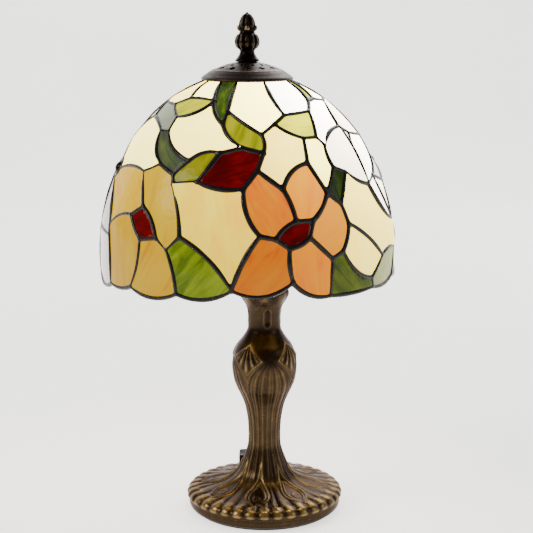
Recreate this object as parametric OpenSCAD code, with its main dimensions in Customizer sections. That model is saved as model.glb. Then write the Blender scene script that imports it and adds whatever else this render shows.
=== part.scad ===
// Leaded glass table lamp: a domed floral shade on a riser beside its bulb, over a cast stem and foot.
// Millimetres, +Z up. The origin is the centre of the foot's underside.
// The shade's pattern is laid out on an egg-shaped mould by longitude and latitude, in whole degrees.

/* [Foot and stem] */
// Radius of the foot over its beaded edge
foot_r = 55; // [50:0.5:60]
// Thickness of the felt under the foot
felt_t = 1.2; // [0.8:0.1:2]
// Height of the neck's lip above the table
neck_h = 158; // [157:0.5:159]

/* [Fitting] */
// Distance of the riser and of the bulb from the stem's axis, one on each side
strap_reach = 11.5; // [11.2:0.1:12]
// Diameter of the riser rod
riser_d = 6; // [5:0.5:6]
// Largest diameter of the bulb
bulb_d = 34; // [25:1:36]

/* [Shade] */
// Radius of the mould at its widest ring
mould_r = 100; // [95:1:105]
// Height of the mould's dome above its widest ring
mould_h = 121; // [119:1:122]
// Height of the widest ring above the table
mould_z = 185; // [184:0.5:186]
// Thickness of the glass
glass_t = 2.4; // [2:0.2:3]
// Width of the solder lines
line_w = 3; // [2.4:0.2:3.4]

/* [Cap and finial] */
// Radius of the cap
cap_r = 31; // [29:0.5:33]
// Thickness of the cap's sheet
cap_t = 1.2; // [0.8:0.1:1.6]

/* [Switch] */
// Width, depth and height of the switch housing
switch_size = [30, 20, 14]; // [14:1:32]
// Sideways place of the switch housing
switch_x = -4; // [-6:1:0]

/* [Hidden] */
$fn = 64;

bronze = [0.36, 0.29, 0.17];
brass = [0.72, 0.58, 0.30];
steel = [0.62, 0.62, 0.64];
black = [0.07, 0.07, 0.08];
lead = [0.12, 0.10, 0.10];

riser_x = -strap_reach;
bulb_x = strap_reach + 2;
strap_z = neck_h + 10;
strap_t = 3;
riser_top = 327;
crown_lat = 75;
seat_z = 299;
switch_y = 52;
switch_z = 6.5;
wall = 1.8;
rocker_r = 7.2;
rocker_z = switch_z + switch_size[2] - 3;
pane_gap = 0.34;

// ---- Helpers ----

// A smooth curve through hand-set stations: each stretch is a Catmull-Rom cubic cut into equal steps.
function cubic(a, b, c, d, t) =
    0.5 * (2 * b + (c - a) * t + (2 * a - 5 * b + 4 * c - d) * t * t + (3 * b - a - 3 * c + d) * t * t * t);
function smooth_line(s, steps) = [
    for (i = [0:len(s) - 2], k = [0:steps - 1])
        cubic(s[max(i - 1, 0)], s[i], s[i + 1], s[min(i + 2, len(s) - 1)], k / steps),
    s[len(s) - 1]
];
function unit(v) = v / norm(v);
module tube(r_out, r_in, z0, z1) {
    translate([0, 0, z0])
        difference() {
            cylinder(r = r_out, h = z1 - z0);
            translate([0, 0, -1])
                cylinder(r = r_in, h = z1 - z0 + 2);
        }
}
module hex_nut(r_in, across, z0, z1) {
    translate([0, 0, z0])
        difference() {
            cylinder(r = across / sqrt(3), h = z1 - z0, $fn = 6);
            translate([0, 0, -1])
                cylinder(r = r_in, h = z1 - z0 + 2);
        }
}
// A rod from one point to another, ending in a ball that joins it to the next stretch.
module stretch(a, b, r) {
    d = b - a;
    length = norm(d);
    translate(a)
        rotate([0, acos(d[2] / length), atan2(d[1], d[0])])
            cylinder(r = r, h = length, $fn = 24);
    translate(b)
        sphere(r = 1.1 * r, $fn = 24);
}
module rounded_plate(size, r, h) {
    linear_extrude(height = h) {
        square([size[0] - 2 * r, size[1]], center = true);
        square([size[0], size[1] - 2 * r], center = true);
        for (x = [-1, 1], y = [-1, 1])
            translate([x * (size[0] / 2 - r), y * (size[1] / 2 - r)])
                circle(r = r);
    }
}

// ---- Foot and stem ----

// Stations of the casting's outside, radius and height, from the foot's underside to the neck's lip.
casting_stations = [
    [foot_r - 5, felt_t], [foot_r - 1.6, 2.8], [foot_r - 0.9, 5.4], [foot_r - 1.6, 7], [foot_r, 9.8],
    [foot_r - 2.5, 13], [42, 17.3], [30, 21.8], [20.5, 27], [15.5, 34.5], [12, 43], [11, 54], [12.4, 70],
    [17.5, 85], [22, 97], [22.4, 108], [19, 119.5], [13, 128.5], [11.2, 138], [13, 147.5],
    [16.5, neck_h - 3.5], [16.6, neck_h]
];
// The hollow inside, which leaves a web at each end of the stem for the pipe to pass and its nut to bear on.
casting_hollow = [
    [0, -1], [foot_r - 9, -1], [foot_r - 9, 8], [36, 13], [22, 18], [12, 21], [12, 24], [5.2, 24], [5.2, 31],
    [7.5, 33], [7.5, 54], [9, 69], [14, 85], [18, 98], [18, 108], [14, 119], [8.5, 129], [7.5, 140],
    [5.2, 142], [5.2, neck_h - 5], [12.5, neck_h - 5], [12.5, neck_h + 1], [0, neck_h + 1]
];
module housing_block(grow) {
    translate([switch_x, switch_y, switch_z - grow])
        rounded_plate([switch_size[0] + 2 * grow, switch_size[1] + 2 * grow], 3, switch_size[2] + grow);
}
module at_housing_screws() {
    for (side = [-1, 1])
        translate([switch_x + side * 12, switch_y - 6, 0])
            children();
}
module foot_casting() {
    color(bronze)
        difference() {
            rotate_extrude()
                polygon([[0, felt_t], each smooth_line(casting_stations, 3), [0, neck_h]]);
            rotate_extrude()
                polygon(casting_hollow);
            housing_block(0.15);
            at_housing_screws()
                translate([0, 0, 2])
                    cylinder(r = 1.5, h = 20);
        }
}
module felt_pad() {
    color([0.10, 0.12, 0.10])
        cylinder(r = foot_r - 5.5, h = felt_t);
}
module bottom_plate() {
    color(steel)
        translate([0, 0, felt_t])
            cylinder(r = foot_r - 9.2, h = 1);
}
module stem_pipe() {
    color(steel)
        tube(4.8, 3.6, 15, strap_z + strap_t + 5.5);
}
module pipe_nuts() {
    color(brass) {
        hex_nut(4.85, 13, 18, 22.4);
        hex_nut(4.85, 13, strap_z + strap_t + 0.9, strap_z + strap_t + 4.4);
    }
}
module pipe_washers() {
    color(steel) {
        tube(9, 4.9, 22.5, 23.95);
        tube(7.6, 4.9, strap_z + strap_t + 0.05, strap_z + strap_t + 0.85);
    }
}
module neck_spacer() {
    color(brass) {
        tube(12.2, 4.95, neck_h - 4.95, neck_h + 1);
        tube(6, 4.95, neck_h + 1, strap_z - 0.05);
    }
}

// ---- Fitting ----

module strap_bracket() {
    color(brass)
        difference() {
            translate([0, 0, strap_z])
                rounded_plate([2 * strap_reach + 21, 13], 6.4, strap_t);
            for (spot = [[0, 4.9], [riser_x, riser_d / 2 + 0.05], [bulb_x, 4.9]])
                translate([spot[0], 0, strap_z - 1])
                    cylinder(r = spot[1], h = strap_t + 2);
        }
}
module riser_rod() {
    color(brass)
        translate([riser_x, 0, strap_z - 5])
            cylinder(r = riser_d / 2, h = riser_top - strap_z + 5);
}
module riser_nut() {
    color(brass)
        translate([riser_x, 0, 0])
            hex_nut(riser_d / 2 + 0.05, 9, strap_z - 4, strap_z - 0.05);
}
module seat_nut() {
    color(brass)
        translate([riser_x, 0, 0])
            hex_nut(riser_d / 2 + 0.05, 10, seat_z - 6, seat_z - 1.7);
}
module seat_washer() {
    color(steel)
        translate([riser_x, 0, 0])
            tube(9, riser_d / 2 + 0.06, seat_z - 1.4, seat_z - 0.3);
}
module socket_nipple() {
    color(steel)
        translate([bulb_x, 0, 0])
            tube(4.8, 3.6, strap_z - 4, strap_z + 8);
}
module socket_cap() {
    z = strap_z + strap_t;
    color(brass)
        difference() {
            translate([bulb_x, 0, 0])
                rotate_extrude()
                    polygon([
                        [4.9, z + 0.05], [5.6, z + 0.05], [5.6, z + 5], [11, z + 8], [14.2, z + 11], [14.2, z + 15],
                        [13.4, z + 15], [13.4, z + 11.4], [10.5, z + 8.8], [4.9, z + 5.8]
                    ]);
            translate([3.4, 0, z + 2])
                cylinder(r = 2.9, h = 12);
        }
}
module socket_shell() {
    z = strap_z + strap_t;
    color(brass)
        translate([bulb_x, 0, 0])
            rotate_extrude()
                polygon([
                    [14.3, z + 13], [15, z + 13], [15, z + 40], [15.6, z + 40.6], [15.6, z + 42],
                    [14.3, z + 42]
                ]);
}
module socket_liner() {
    color([0.75, 0.66, 0.48])
        translate([bulb_x, 0, 0])
            tube(13.3, 12.7, strap_z + 19, strap_z + 44);
}
module socket_body() {
    color(black)
        translate([bulb_x, 0, 0])
            difference() {
                translate([0, 0, strap_z + 15])
                    cylinder(r = 12.6, h = 8);
                for (side = [-1, 1])
                    translate([side * 10.2, 0, strap_z + 14])
                        cylinder(r = 1.3, h = 10);
            }
}
module screw_shell() {
    color(brass)
        translate([bulb_x, 0, 0])
            tube(7.7, 7.0, strap_z + 23.05, strap_z + 38.5);
}
module centre_contact() {
    color(brass)
        translate([bulb_x - 2, -2, strap_z + 23.05])
            cube([7, 4, 0.8]);
}
module terminal_screws() {
    color(brass)
        for (side = [-1, 1])
            translate([bulb_x + side * 10.2, 0, strap_z + 17]) {
                cylinder(r = 1.25, h = 6.1);
                translate([0, 0, 6.1])
                    cylinder(r = 2, h = 1.4);
            }
}
// Routes of the two wires inside the lamp, from the switch, up the pipe and into the socket.
live_route = [
    [-6, 46, 9], [-6, 34, 7.5], [-3, 12, 7.5], [-1.6, 2, 12], [-1.6, 0, 18], [0, 1.6, 176], [2, 1.5, 179],
    [3.4, 1.2, 181.4]
];
neutral_route = [
    [-2, 46, 9], [-2, 34, 7.5], [1.6, 12, 7.5], [1.6, 2, 12], [1.6, 0, 18], [0, -1.6, 176], [2, -1.5, 179],
    [3.4, -1.2, 181.4]
];
// A round section carried along a route, mitred at the bends. No stretch may run along X.
module wire(route, r) {
    last = len(route) - 1;
    sides = 10;
    points = [
        for (i = [0:last])
            let (along = unit(route[min(i + 1, last)] - route[max(i - 1, 0)]))
            let (u = unit(cross(along, [1, 0, 0])), v = cross(along, u))
            for (k = [0:sides - 1]) route[i] + r * (cos(360 * k / sides) * u + sin(360 * k / sides) * v)
    ];
    skin = [
        for (i = [0:last - 1], k = [0:sides - 1])
            let (m = (k + 1) % sides, a = sides * i, b = sides * (i + 1))
            each [[a + k, b + k, a + m], [a + m, b + k, b + m]]
    ];
    ends = [
        for (k = [1:sides - 2])
            each [[0, k, k + 1], [sides * last, sides * last + k + 1, sides * last + k]]
    ];
    polyhedron(points = points, faces = [each skin, each ends]);
}
module live_wire() {
    color([0.35, 0.16, 0.08])
        wire(live_route, 1);
}
module neutral_wire() {
    color([0.12, 0.2, 0.4])
        wire(neutral_route, 1);
}

// ---- Bulb ----

bulb_z = strap_z + 39;
bulb_stations = [
    [7.2, bulb_z], [9, bulb_z + 5], [14, bulb_z + 14], [bulb_d / 2, bulb_z + 27], [15.4, bulb_z + 42],
    [10, bulb_z + 56], [4.2, bulb_z + 65], [0.6, bulb_z + 69]
];
module bulb_glass() {
    outside = smooth_line(bulb_stations, 4);
    inside = [for (p = outside) [max(p[0] - 0.7, 0), p[1] - 0.4]];
    color([1, 0.93, 0.75])
        translate([bulb_x, 0, 0])
            difference() {
                rotate_extrude()
                    polygon([[0, bulb_z], each outside, [0, bulb_z + 69]]);
                rotate_extrude()
                    polygon([[0, bulb_z - 1], [6.5, bulb_z - 1], each inside, [0, bulb_z + 68.4]]);
            }
}
module bulb_base() {
    color(steel)
        translate([bulb_x, 0, 0])
            rotate_extrude()
                polygon([
                    [3.5, strap_z + 26], [5.4, strap_z + 26], [6.93, strap_z + 28], [6.93, bulb_z - 0.05],
                    [6.2, bulb_z - 0.05], [6.2, strap_z + 28.4], [3.5, strap_z + 27]
                ]);
}
module bulb_insulator() {
    color(black)
        translate([bulb_x, 0, strap_z + 24.3])
            cylinder(r1 = 2, r2 = 3.4, h = 3);
}
module bulb_filament() {
    z = bulb_z + 2;
    color([0.8, 0.8, 0.82])
        translate([bulb_x, 0, 0]) {
            translate([0, 0, z - 8])
                cylinder(r = 2.2, h = 24);
            for (side = [-1, 1])
                stretch([side, 0, z + 15], [side * 6, 0, z + 32], 0.4);
            stretch([-6, 0, z + 32], [6, 0, z + 32], 0.6);
        }
}

// ---- Switch ----

module switch_housing() {
    inner = [switch_size[0] - 2 * wall, switch_size[1] - 2 * wall];
    color(black)
        difference() {
            housing_block(0);
            difference() {
                translate([switch_x, switch_y, switch_z + 1])
                    rounded_plate(inner, 1.5, switch_size[2] - 1 - wall);
                for (side = [-1, 1])
                    translate([switch_x + side * 9.2 - 0.7, switch_y - switch_size[1] / 2, rocker_z - 3])
                        cube([1.4, switch_size[1], 8]);
                at_housing_screws()
                    translate([0, 0, switch_z - 1])
                        cylinder(r = 2.6, h = switch_size[2]);
            }
            translate([switch_x - 8, switch_y - rocker_r - 0.3, switch_z + 2])
                cube([16, 2 * rocker_r + 0.6, switch_size[2]]);
            translate([switch_x - 10, switch_y, rocker_z])
                rotate([0, 90, 0])
                    cylinder(r = 1, h = 20);
            translate([switch_x - 4, switch_y - 11, switch_z + 1])
                cube([8, 4, 3.5]);
            at_housing_screws()
                translate([0, 0, switch_z - 2])
                    cylinder(r = 1.5, h = 20);
            translate([switch_x, switch_y, switch_z + 6])
                rotate([-90, 0, 0])
                    cylinder(r = 3.6, h = 20);
        }
}
module switch_rocker() {
    color([0.13, 0.13, 0.14])
        translate([switch_x - 7.7, switch_y, rocker_z])
            rotate([90, 0, 90])
                difference() {
                    cylinder(r = rocker_r, h = 15.4);
                    translate([-10, -22.5, -1])
                        cube([20, 20, 18]);
                    for (turn = [0, 77])
                        translate([0, 3.4, -1])
                            rotate([0, 0, turn])
                                cube([20, 20, 18]);
                    translate([0, 0, -1])
                        cylinder(r = 1.05, h = 18);
                }
}
module rocker_pin() {
    color(steel)
        translate([switch_x - 9.8, switch_y, rocker_z])
            rotate([0, 90, 0])
                cylinder(r = 1, h = 19.6);
}
module switch_contacts() {
    color(brass)
        for (x = [-5, 0, 5])
            translate([switch_x + x - 0.4, switch_y - 2, switch_z + 1.05])
                cube([0.8, 4, 4.4]);
}
module housing_screws() {
    color(steel)
        at_housing_screws() {
            translate([0, 0, 2.6])
                cylinder(r = 1.45, h = switch_z + switch_size[2] - 2.6);
            translate([0, 0, switch_z + switch_size[2] + 0.02])
                cylinder(r = 2.6, h = 1.2);
        }
}
module cord_bushing() {
    color(black)
        translate([switch_x, switch_y + switch_size[1] / 2 - wall - 1, switch_z + 6])
            rotate([-90, 0, 0])
                difference() {
                    union() {
                        cylinder(r = 3.55, h = wall + 1.02);
                        translate([0, 0, wall + 1.02])
                            cylinder(r1 = 4.6, r2 = 4, h = 3.5);
                    }
                    translate([0, 0, -1])
                        cylinder(r = 2.4, h = 12);
                }
}

// ---- Shade: the pattern on its mould ----

// Where the solder lines meet: longitude from the front and latitude, for one half of the shade.
// A number of 100 or more is the same spot on the next half, which repeats the first half a turn away.
spots = [
    [-84, 75], [-66, 75], [-37, 75], [-13, 75], [24, 75], [68, 75], [82, 75],
    [-86, -4], [-63, -6], [-48, -5], [-26, -5], [-5, -3], [17, -1], [32, -6], [55, -6], [74, -5],
    [-80, 58], [-61, 58], [-50, 62], [-25, 61], [-46, 52], [-45, 46], [-52, 46], [-74, 51], [-41, 34],
    [-49, 31], [-73, 30], [-77, 33], [-81, 30], [-77, 27], [-84, 41], [-32, 31], [-26, 36], [-31, 28],
    [-20, 29], [-12, 39], [-2, 41], [8, 39], [5, 33], [-1, 27], [-12, 56], [-13, 50],
    [-50, 17], [-44, 20], [-35, 11], [-43, 10], [-66, 12], [-65, 9], [-86, 10], [-25, 12], [-30, 8],
    [24, 54], [16, 50], [8, 46], [53, 60], [44, 55], [38, 44], [30, 44], [41, 41], [15, 27], [28, 35],
    [41, 33], [34, 25], [47, 31], [40, 21], [62, 61], [76, 59], [61, 47], [67, 44], [62, 40], [83, 42],
    [68, 28], [81, 25], [61, 26], [79, 12], [90, 60], [77, 4], [62, 3], [54, -3], [42, 15], [38, 7],
    [33, 5], [11, 12], [19, 17], [26, 17], [24, 12], [16, 9], [5, 13]
];
// Bowed lines: from, to, and how many degrees the middle stands to the left of the straight line.
bows = [
    [4, 51, -1.2], [53, 37, 0.8], [36, 41, 1], [41, 19, 0.8], [18, 19, 0.7], [20, 19, -1.8], [22, 23, -1],
    [22, 24, -1.3], [21, 32, -1.5], [32, 35, 1.6], [34, 39, -0.9], [52, 57, -0.6], [58, 61, -0.8],
    [59, 60, 2], [59, 83, 0.6], [39, 87, -1.6], [82, 83, 0.8], [85, 86, 0.6], [84, 62, -0.7],
    [79, 80, 0.6], [86, 12, -0.6], [87, 11, -1], [33, 49, 1.1], [49, 11, 2], [50, 10, 0.8],
    [43, 44, 1.2], [42, 45, -0.5], [25, 26, -1.6], [29, 46, 1.3], [46, 42, 1.5], [47, 8, 0.8],
    [45, 9, 1.5], [7, 8, -3], [8, 9, -1], [9, 10, -2.3], [10, 11, -2.2], [11, 12, -3], [12, 13, -1.9],
    [13, 14, -0.5], [14, 15, -1.2], [15, 107, -1.5], [77, 76, 1], [79, 77, 0.9], [80, 78, -2.3],
    [63, 73, -0.9], [73, 74, -2.3], [71, 74, -0.6], [70, 71, 2.5], [66, 67, -1.5], [67, 58, -1.8],
    [26, 27, -0.8], [27, 28, -0.8], [28, 29, -0.8], [29, 26, -0.8], [23, 30, -1.5], [75, 70, 1]
];
// Each kind of glass, by the spots round each pane, anticlockwise as seen from outside.
cream_panes = [
    [75, 116, 117, 118, 101, 100], [2, 1, 18, 19], [19, 20, 21, 32, 35, 36, 41], [3, 40, 53, 52, 51, 4],
    [52, 53, 37, 38, 59, 60, 57], [57, 60, 62, 61, 58, 56], [63, 64, 79, 77, 76, 74, 73],
    [79, 80, 78, 77], [33, 49, 11, 87, 39, 34], [23, 30, 27, 26, 25, 24, 22]
];
white_panes = [
    [4, 51, 55, 54, 5], [54, 55, 56, 58, 67, 66, 65], [58, 61, 63, 73, 69, 67], [6, 65, 66, 75, 100],
    [66, 67, 68, 70, 75], [67, 69, 68], [69, 73, 71, 70, 68], [73, 74, 71], [71, 74, 72],
    [75, 70, 130, 123, 116]
];
grey_panes = [[29, 28, 48, 47, 46], [47, 48, 7, 8], [70, 71, 72, 128, 127, 130]];
orange_panes = [
    [39, 87, 82, 83, 59, 38], [59, 83, 84, 62, 60], [62, 84, 85, 81, 80, 79, 64],
    [85, 86, 12, 13, 81], [82, 87, 11, 12, 86]
];
heart_panes = [[82, 86, 85, 84, 83], [42, 45, 44, 43]];
yellow_panes = [
    [25, 26, 29, 46, 42, 43], [25, 43, 44, 50, 49, 33, 31, 24], [46, 47, 8, 9, 45, 42],
    [45, 9, 10, 50, 44]
];
bud_panes = [[34, 39, 38, 37, 36, 35]];
lime_panes = [
    [18, 17, 20, 19], [40, 41, 36, 37, 53], [5, 54, 65, 6], [52, 57, 56, 55, 51], [32, 31, 33, 34, 35]
];
green_panes = [
    [49, 50, 10, 11], [77, 78, 14, 15, 76], [80, 81, 13, 14, 78], [15, 107, 148, 76],
    [76, 148, 128, 72, 74]
];
dark_panes = [[16, 23, 22, 21, 20, 17], [22, 24, 31, 32, 21], [2, 19, 41, 40, 3], [61, 62, 64, 63]];
jewel_panes = [[26, 27, 28, 29]];
all_panes = [
    each cream_panes, each white_panes, each grey_panes, each orange_panes, each heart_panes,
    each yellow_panes, each bud_panes, each lime_panes, each green_panes, each dark_panes,
    each jewel_panes
];
rim_spots = [7, 8, 9, 10, 11, 12, 13, 14, 15, 107];

function spot(i, half) = spots[i % 100] + [180 * (floor(i / 100) + half), 0];
function bow(a, b) =
    let (hit = [
        for (c = bows)
            if (c[0] % 100 == a % 100 && c[1] % 100 == b % 100) c[2]
            else if (c[0] % 100 == b % 100 && c[1] % 100 == a % 100) -c[2]
    ])
    len(hit) > 0 ? hit[0] : 0;
// Points along a line, without its last one: a parabola that leaves the straight line by the bow.
// The crown's lines are cut in four, so that its edge is round.
function line_points(a, b, half) =
    let (p = spot(a, half), q = spot(b, half), h = bow(a, b))
    let (n = h != 0 ? 3 : p[1] == crown_lat && q[1] == crown_lat ? 4 : 1)
    let (k = cos((p[1] + q[1]) / 2), d = [(q[0] - p[0]) * k, q[1] - p[1]], u = d / norm(d))
    [for (j = [0:n - 1]) let (t = j / n) p + (q - p) * t + [-u[1] / k, u[0]] * h * 4 * t * (1 - t)];
function ring(ids, half) = [
    for (i = [0:len(ids) - 1]) each line_points(ids[i], ids[(i + 1) % len(ids)], half)
];
// The point of the mould at a longitude and latitude, moved outwards, and rounded so that neighbours meet.
function on_mould(p, out) =
    let (x = riser_x + (mould_r + out) * cos(p[1]) * sin(p[0]))
    let (y = -(mould_r + out) * cos(p[1]) * cos(p[0]), z = mould_z + (mould_h + out) * sin(p[1]))
    [round(x * 10000) / 10000, round(y * 10000) / 10000, round(z * 10000) / 10000];
function outward(p) =
    unit([cos(p[1]) * sin(p[0]) / mould_r, -cos(p[1]) * cos(p[0]) / mould_r, sin(p[1]) / mould_h]);
// A ring of mould points drawn in by w along the surface, with its corners mitred.
function drawn_in(flat, out, w) =
    let (n = len(flat), pts = [for (p = flat) on_mould(p, out)])
    [
        for (i = [0:n - 1])
            let (up = outward(flat[i]))
            let (m = unit(cross(up, pts[i] - pts[(i + n - 1) % n])))
            let (k = unit(cross(up, pts[(i + 1) % n] - pts[i])))
            pts[i] + (m + k) * w / max(1 + m * k, 0.35)
    ];

// One pane: a slab of glass whose two faces are shallow fans about their middles.
module pane(ids, half, gap) {
    flat = ring(ids, half);
    n = len(flat);
    top = drawn_in(flat, glass_t / 2, line_w / 2 + gap);
    low = drawn_in(flat, -glass_t / 2, line_w / 2 + gap);
    share = [for (j = [0:n - 1]) 1 / n];
    polyhedron(
        points = [each top, each low, share * top, share * low],
        faces = [
            for (i = [0:n - 1]) let (j = (i + 1) % n)
                each [[2 * n, j, i], [2 * n + 1, n + i, n + j], [i, j, n + j], [i, n + j, n + i]]
        ]
    );
}
module panes(list, halves, tint, gap = pane_gap) {
    color(tint)
        for (half = halves, ids = list)
            pane(ids, half, gap);
}
// The solder lattice: one closed net whose holes are the panes, with a flat wall round each hole.
module solder_lattice() {
    skin = 1.6;
    rings = [for (half = [0, 1], ids = all_panes) ring(ids, half)];
    starts = [for (i = 0, s = 0; i < len(rings); s = s + 4 * len(rings[i]), i = i + 1) s];
    points = [
        for (flat = rings)
            each [
                for (p = flat) on_mould(p, skin), for (p = flat) on_mould(p, -skin),
                each drawn_in(flat, skin, line_w / 2), each drawn_in(flat, -skin, line_w / 2)
            ]
    ];
    net = [
        for (k = [0:len(rings) - 1])
            let (n = len(rings[k]), s = starts[k])
            for (i = [0:n - 1])
                let (j = (i + 1) % n)
                each [
                    [s + j, s + i, s + 2 * n + i], [s + j, s + 2 * n + i, s + 2 * n + j],
                    [s + n + i, s + n + j, s + 3 * n + i], [s + n + j, s + 3 * n + j, s + 3 * n + i],
                    [s + 2 * n + j, s + 2 * n + i, s + 3 * n + i],
                    [s + 2 * n + j, s + 3 * n + i, s + 3 * n + j],
                    if (on_edge(rings[k][i], rings[k][j])) [s + i, s + j, s + n + i],
                    if (on_edge(rings[k][i], rings[k][j])) [s + j, s + n + j, s + n + i]
                ]
    ];
    color(lead)
        polyhedron(points = points, faces = net);
}
// True for a stretch of the crown or of the rim, where the net ends.
rim_points = [
    for (half = [0, 1], i = [0:len(rim_spots) - 2]) each line_points(rim_spots[i], rim_spots[i + 1], half)
];
function turn_apart(a, b) = abs((a - b + 720 + 180) % 360 - 180);
function at_rim(p) =
    len([for (q = rim_points) if (turn_apart(p[0], q[0]) < 0.01 && abs(p[1] - q[1]) < 0.01) 1]) > 0;
function at_crown(p) = p[1] > crown_lat - 0.01;
function on_edge(p, q) = (at_crown(p) && at_crown(q)) || (at_rim(p) && at_rim(q));

// The wire soldered along the rim: a six-sided tube just below the net's edge.
module rim_wire() {
    r = 1.4;
    n = len(rim_points);
    mids = [for (p = rim_points) on_mould(p, 0) - [0, 0, r + 0.15]];
    color(lead)
        polyhedron(
            points = [
                for (i = [0:n - 1])
                    let (along = unit(mids[(i + 1) % n] - mids[(i + n - 1) % n]))
                    let (side = outward([rim_points[i][0], 0]), up = unit(cross(side, along)))
                    let (level = unit(cross(along, up)))
                    for (k = [0:5]) mids[i] + r * (cos(60 * k) * level + sin(60 * k) * up)
            ],
            faces = [
                for (i = [0:n - 1], k = [0:5])
                    let (j = (i + 1) % n, m = (k + 1) % 6)
                    each [[6 * i + k, 6 * j + k, 6 * i + m], [6 * j + k, 6 * j + m, 6 * i + m]]
            ]
        );
}
module crown_ring() {
    color(brass)
        translate([riser_x, 0, 0])
            tube(25.2, 23.8, seat_z - 0.5, seat_z + 4.2);
}
module shade_spider() {
    color(brass)
        translate([riser_x, 0, seat_z])
            difference() {
                union() {
                    cylinder(r = 7.5, h = 3);
                    for (k = [0:2])
                        rotate([0, 0, 30 + 120 * k])
                            translate([5, -1.5, 0.3])
                                cube([18.7, 3, 2.4]);
                }
                translate([0, 0, -1])
                    cylinder(r = riser_d / 2 + 0.3, h = 5);
            }
}
cream = [0.98, 0.90, 0.68];
white = [0.98, 0.95, 0.90];
grey = [0.85, 0.80, 0.80];
orange = [0.98, 0.50, 0.10];
yellow = [0.95, 0.80, 0.15];
red = [0.50, 0.02, 0.02];
lime = [0.72, 0.76, 0.20];
green = [0.52, 0.60, 0.14];
dark = [0.30, 0.40, 0.26];
module cream_glass_front() { panes(cream_panes, [0], cream); }
module cream_glass_back() { panes(cream_panes, [1], cream); }
module white_glass_front() { panes(white_panes, [0], white); }
module white_glass_back() { panes(white_panes, [1], white); }
module grey_glass() { panes(grey_panes, [0, 1], grey); }
module orange_petals_front() { panes(orange_panes, [0], orange); }
module orange_petals_back() { panes(orange_panes, [1], orange); }
module yellow_petals_front() { panes(yellow_panes, [0], yellow); }
module yellow_petals_back() { panes(yellow_panes, [1], yellow); }
module flower_hearts() { panes(heart_panes, [0, 1], red); }
module red_buds() { panes(bud_panes, [0, 1], red); }
module lime_leaves_front() { panes(lime_panes, [0], lime); }
module lime_leaves_back() { panes(lime_panes, [1], lime); }
module green_leaves_front() { panes(green_panes, [0], green); }
module green_leaves_back() { panes(green_panes, [1], green); }
module dark_leaves_front() { panes(dark_panes, [0], dark); }
module dark_leaves_back() { panes(dark_panes, [1], dark); }
module glass_jewels() { panes(jewel_panes, [0, 1], [0.08, 0.09, 0.2]); }

// ---- Cap and finial ----

cap_z = 302.9;
cap_stations = [
    [cap_r, cap_z], [cap_r - 0.4, cap_z + 1.4], [cap_r - 2.4, cap_z + 3.4], [cap_r - 6, cap_z + 5.8],
    [20, cap_z + 8.1], [13, cap_z + 10.4], [7, cap_z + 11.6], [riser_d / 2 + 0.3, cap_z + 11.8]
];
module pierced_cap() {
    outside = smooth_line(cap_stations, 3);
    last = len(outside) - 1;
    inside = [for (i = [last:-1:0]) [min(outside[i][0], cap_r - cap_t), outside[i][1] - cap_t]];
    color(bronze)
        translate([riser_x, 0, 0])
            difference() {
                rotate_extrude()
                    polygon([each outside, each [for (p = inside) if (p[1] > cap_z) p], [cap_r - cap_t, cap_z]]);
                for (k = [0:7])
                    rotate([0, 0, 45 * k])
                        translate([12.5, 0, cap_z])
                            cylinder(r = 1.5, h = 20, $fn = 32);
                for (k = [0:11])
                    rotate([0, 0, 30 * k + 15])
                        translate([19.5, 0, cap_z])
                            cylinder(r = 1.7, h = 20, $fn = 32);
            }
}
finial_z = cap_z + 12;
finial_stations = [
    [8, finial_z], [8.2, finial_z + 1.6], [6.6, finial_z + 3.8], [5, finial_z + 6.6], [6.6, finial_z + 9.4],
    [8.1, finial_z + 12.6], [7.4, finial_z + 16], [5.3, finial_z + 19], [6.8, finial_z + 21],
    [6.6, finial_z + 23.4], [5, finial_z + 24.8], [5, finial_z + 27.4], [3.2, finial_z + 30.4],
    [0.4, finial_z + 32.6]
];
module finial() {
    color(bronze)
        translate([riser_x, 0, 0])
            difference() {
                rotate_extrude()
                    polygon([[0, finial_z], each smooth_line(finial_stations, 3), [0, finial_z + 32.6]]);
                translate([0, 0, finial_z - 1])
                    cylinder(r = 4.3, h = 15);
            }
}
module finial_bush() {
    color(brass)
        translate([riser_x, 0, 0])
            tube(4.25, riser_d / 2 + 0.08, finial_z + 0.1, finial_z + 13.9);
}

foot_casting();
felt_pad();
bottom_plate();
stem_pipe();
pipe_nuts();
pipe_washers();
neck_spacer();
strap_bracket();
riser_rod();
riser_nut();
seat_nut();
seat_washer();
socket_nipple();
socket_cap();
socket_shell();
socket_liner();
socket_body();
screw_shell();
centre_contact();
terminal_screws();
live_wire();
neutral_wire();
bulb_glass();
bulb_base();
bulb_insulator();
bulb_filament();
switch_housing();
switch_rocker();
rocker_pin();
switch_contacts();
housing_screws();
cord_bushing();
solder_lattice();
rim_wire();
crown_ring();
shade_spider();
cream_glass_front();
cream_glass_back();
white_glass_front();
white_glass_back();
grey_glass();
orange_petals_front();
orange_petals_back();
yellow_petals_front();
yellow_petals_back();
flower_hearts();
red_buds();
lime_leaves_front();
lime_leaves_back();
green_leaves_front();
green_leaves_back();
dark_leaves_front();
dark_leaves_back();
glass_jewels();
pierced_cap();
finial_bush();
finial();
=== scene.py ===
"""Looks of a leaded glass table lamp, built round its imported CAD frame.

Metres, +Z up, with the flower towards -Y.  The shade's pattern is laid out on an egg-shaped
mould by longitude and latitude, in whole degrees, and every pane and solder line follows it.
"""

import math

import bmesh
import bpy
import numpy as np
from bpy.props import FloatProperty, PointerProperty
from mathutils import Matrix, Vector
from mathutils.geometry import delaunay_2d_cdt


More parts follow.
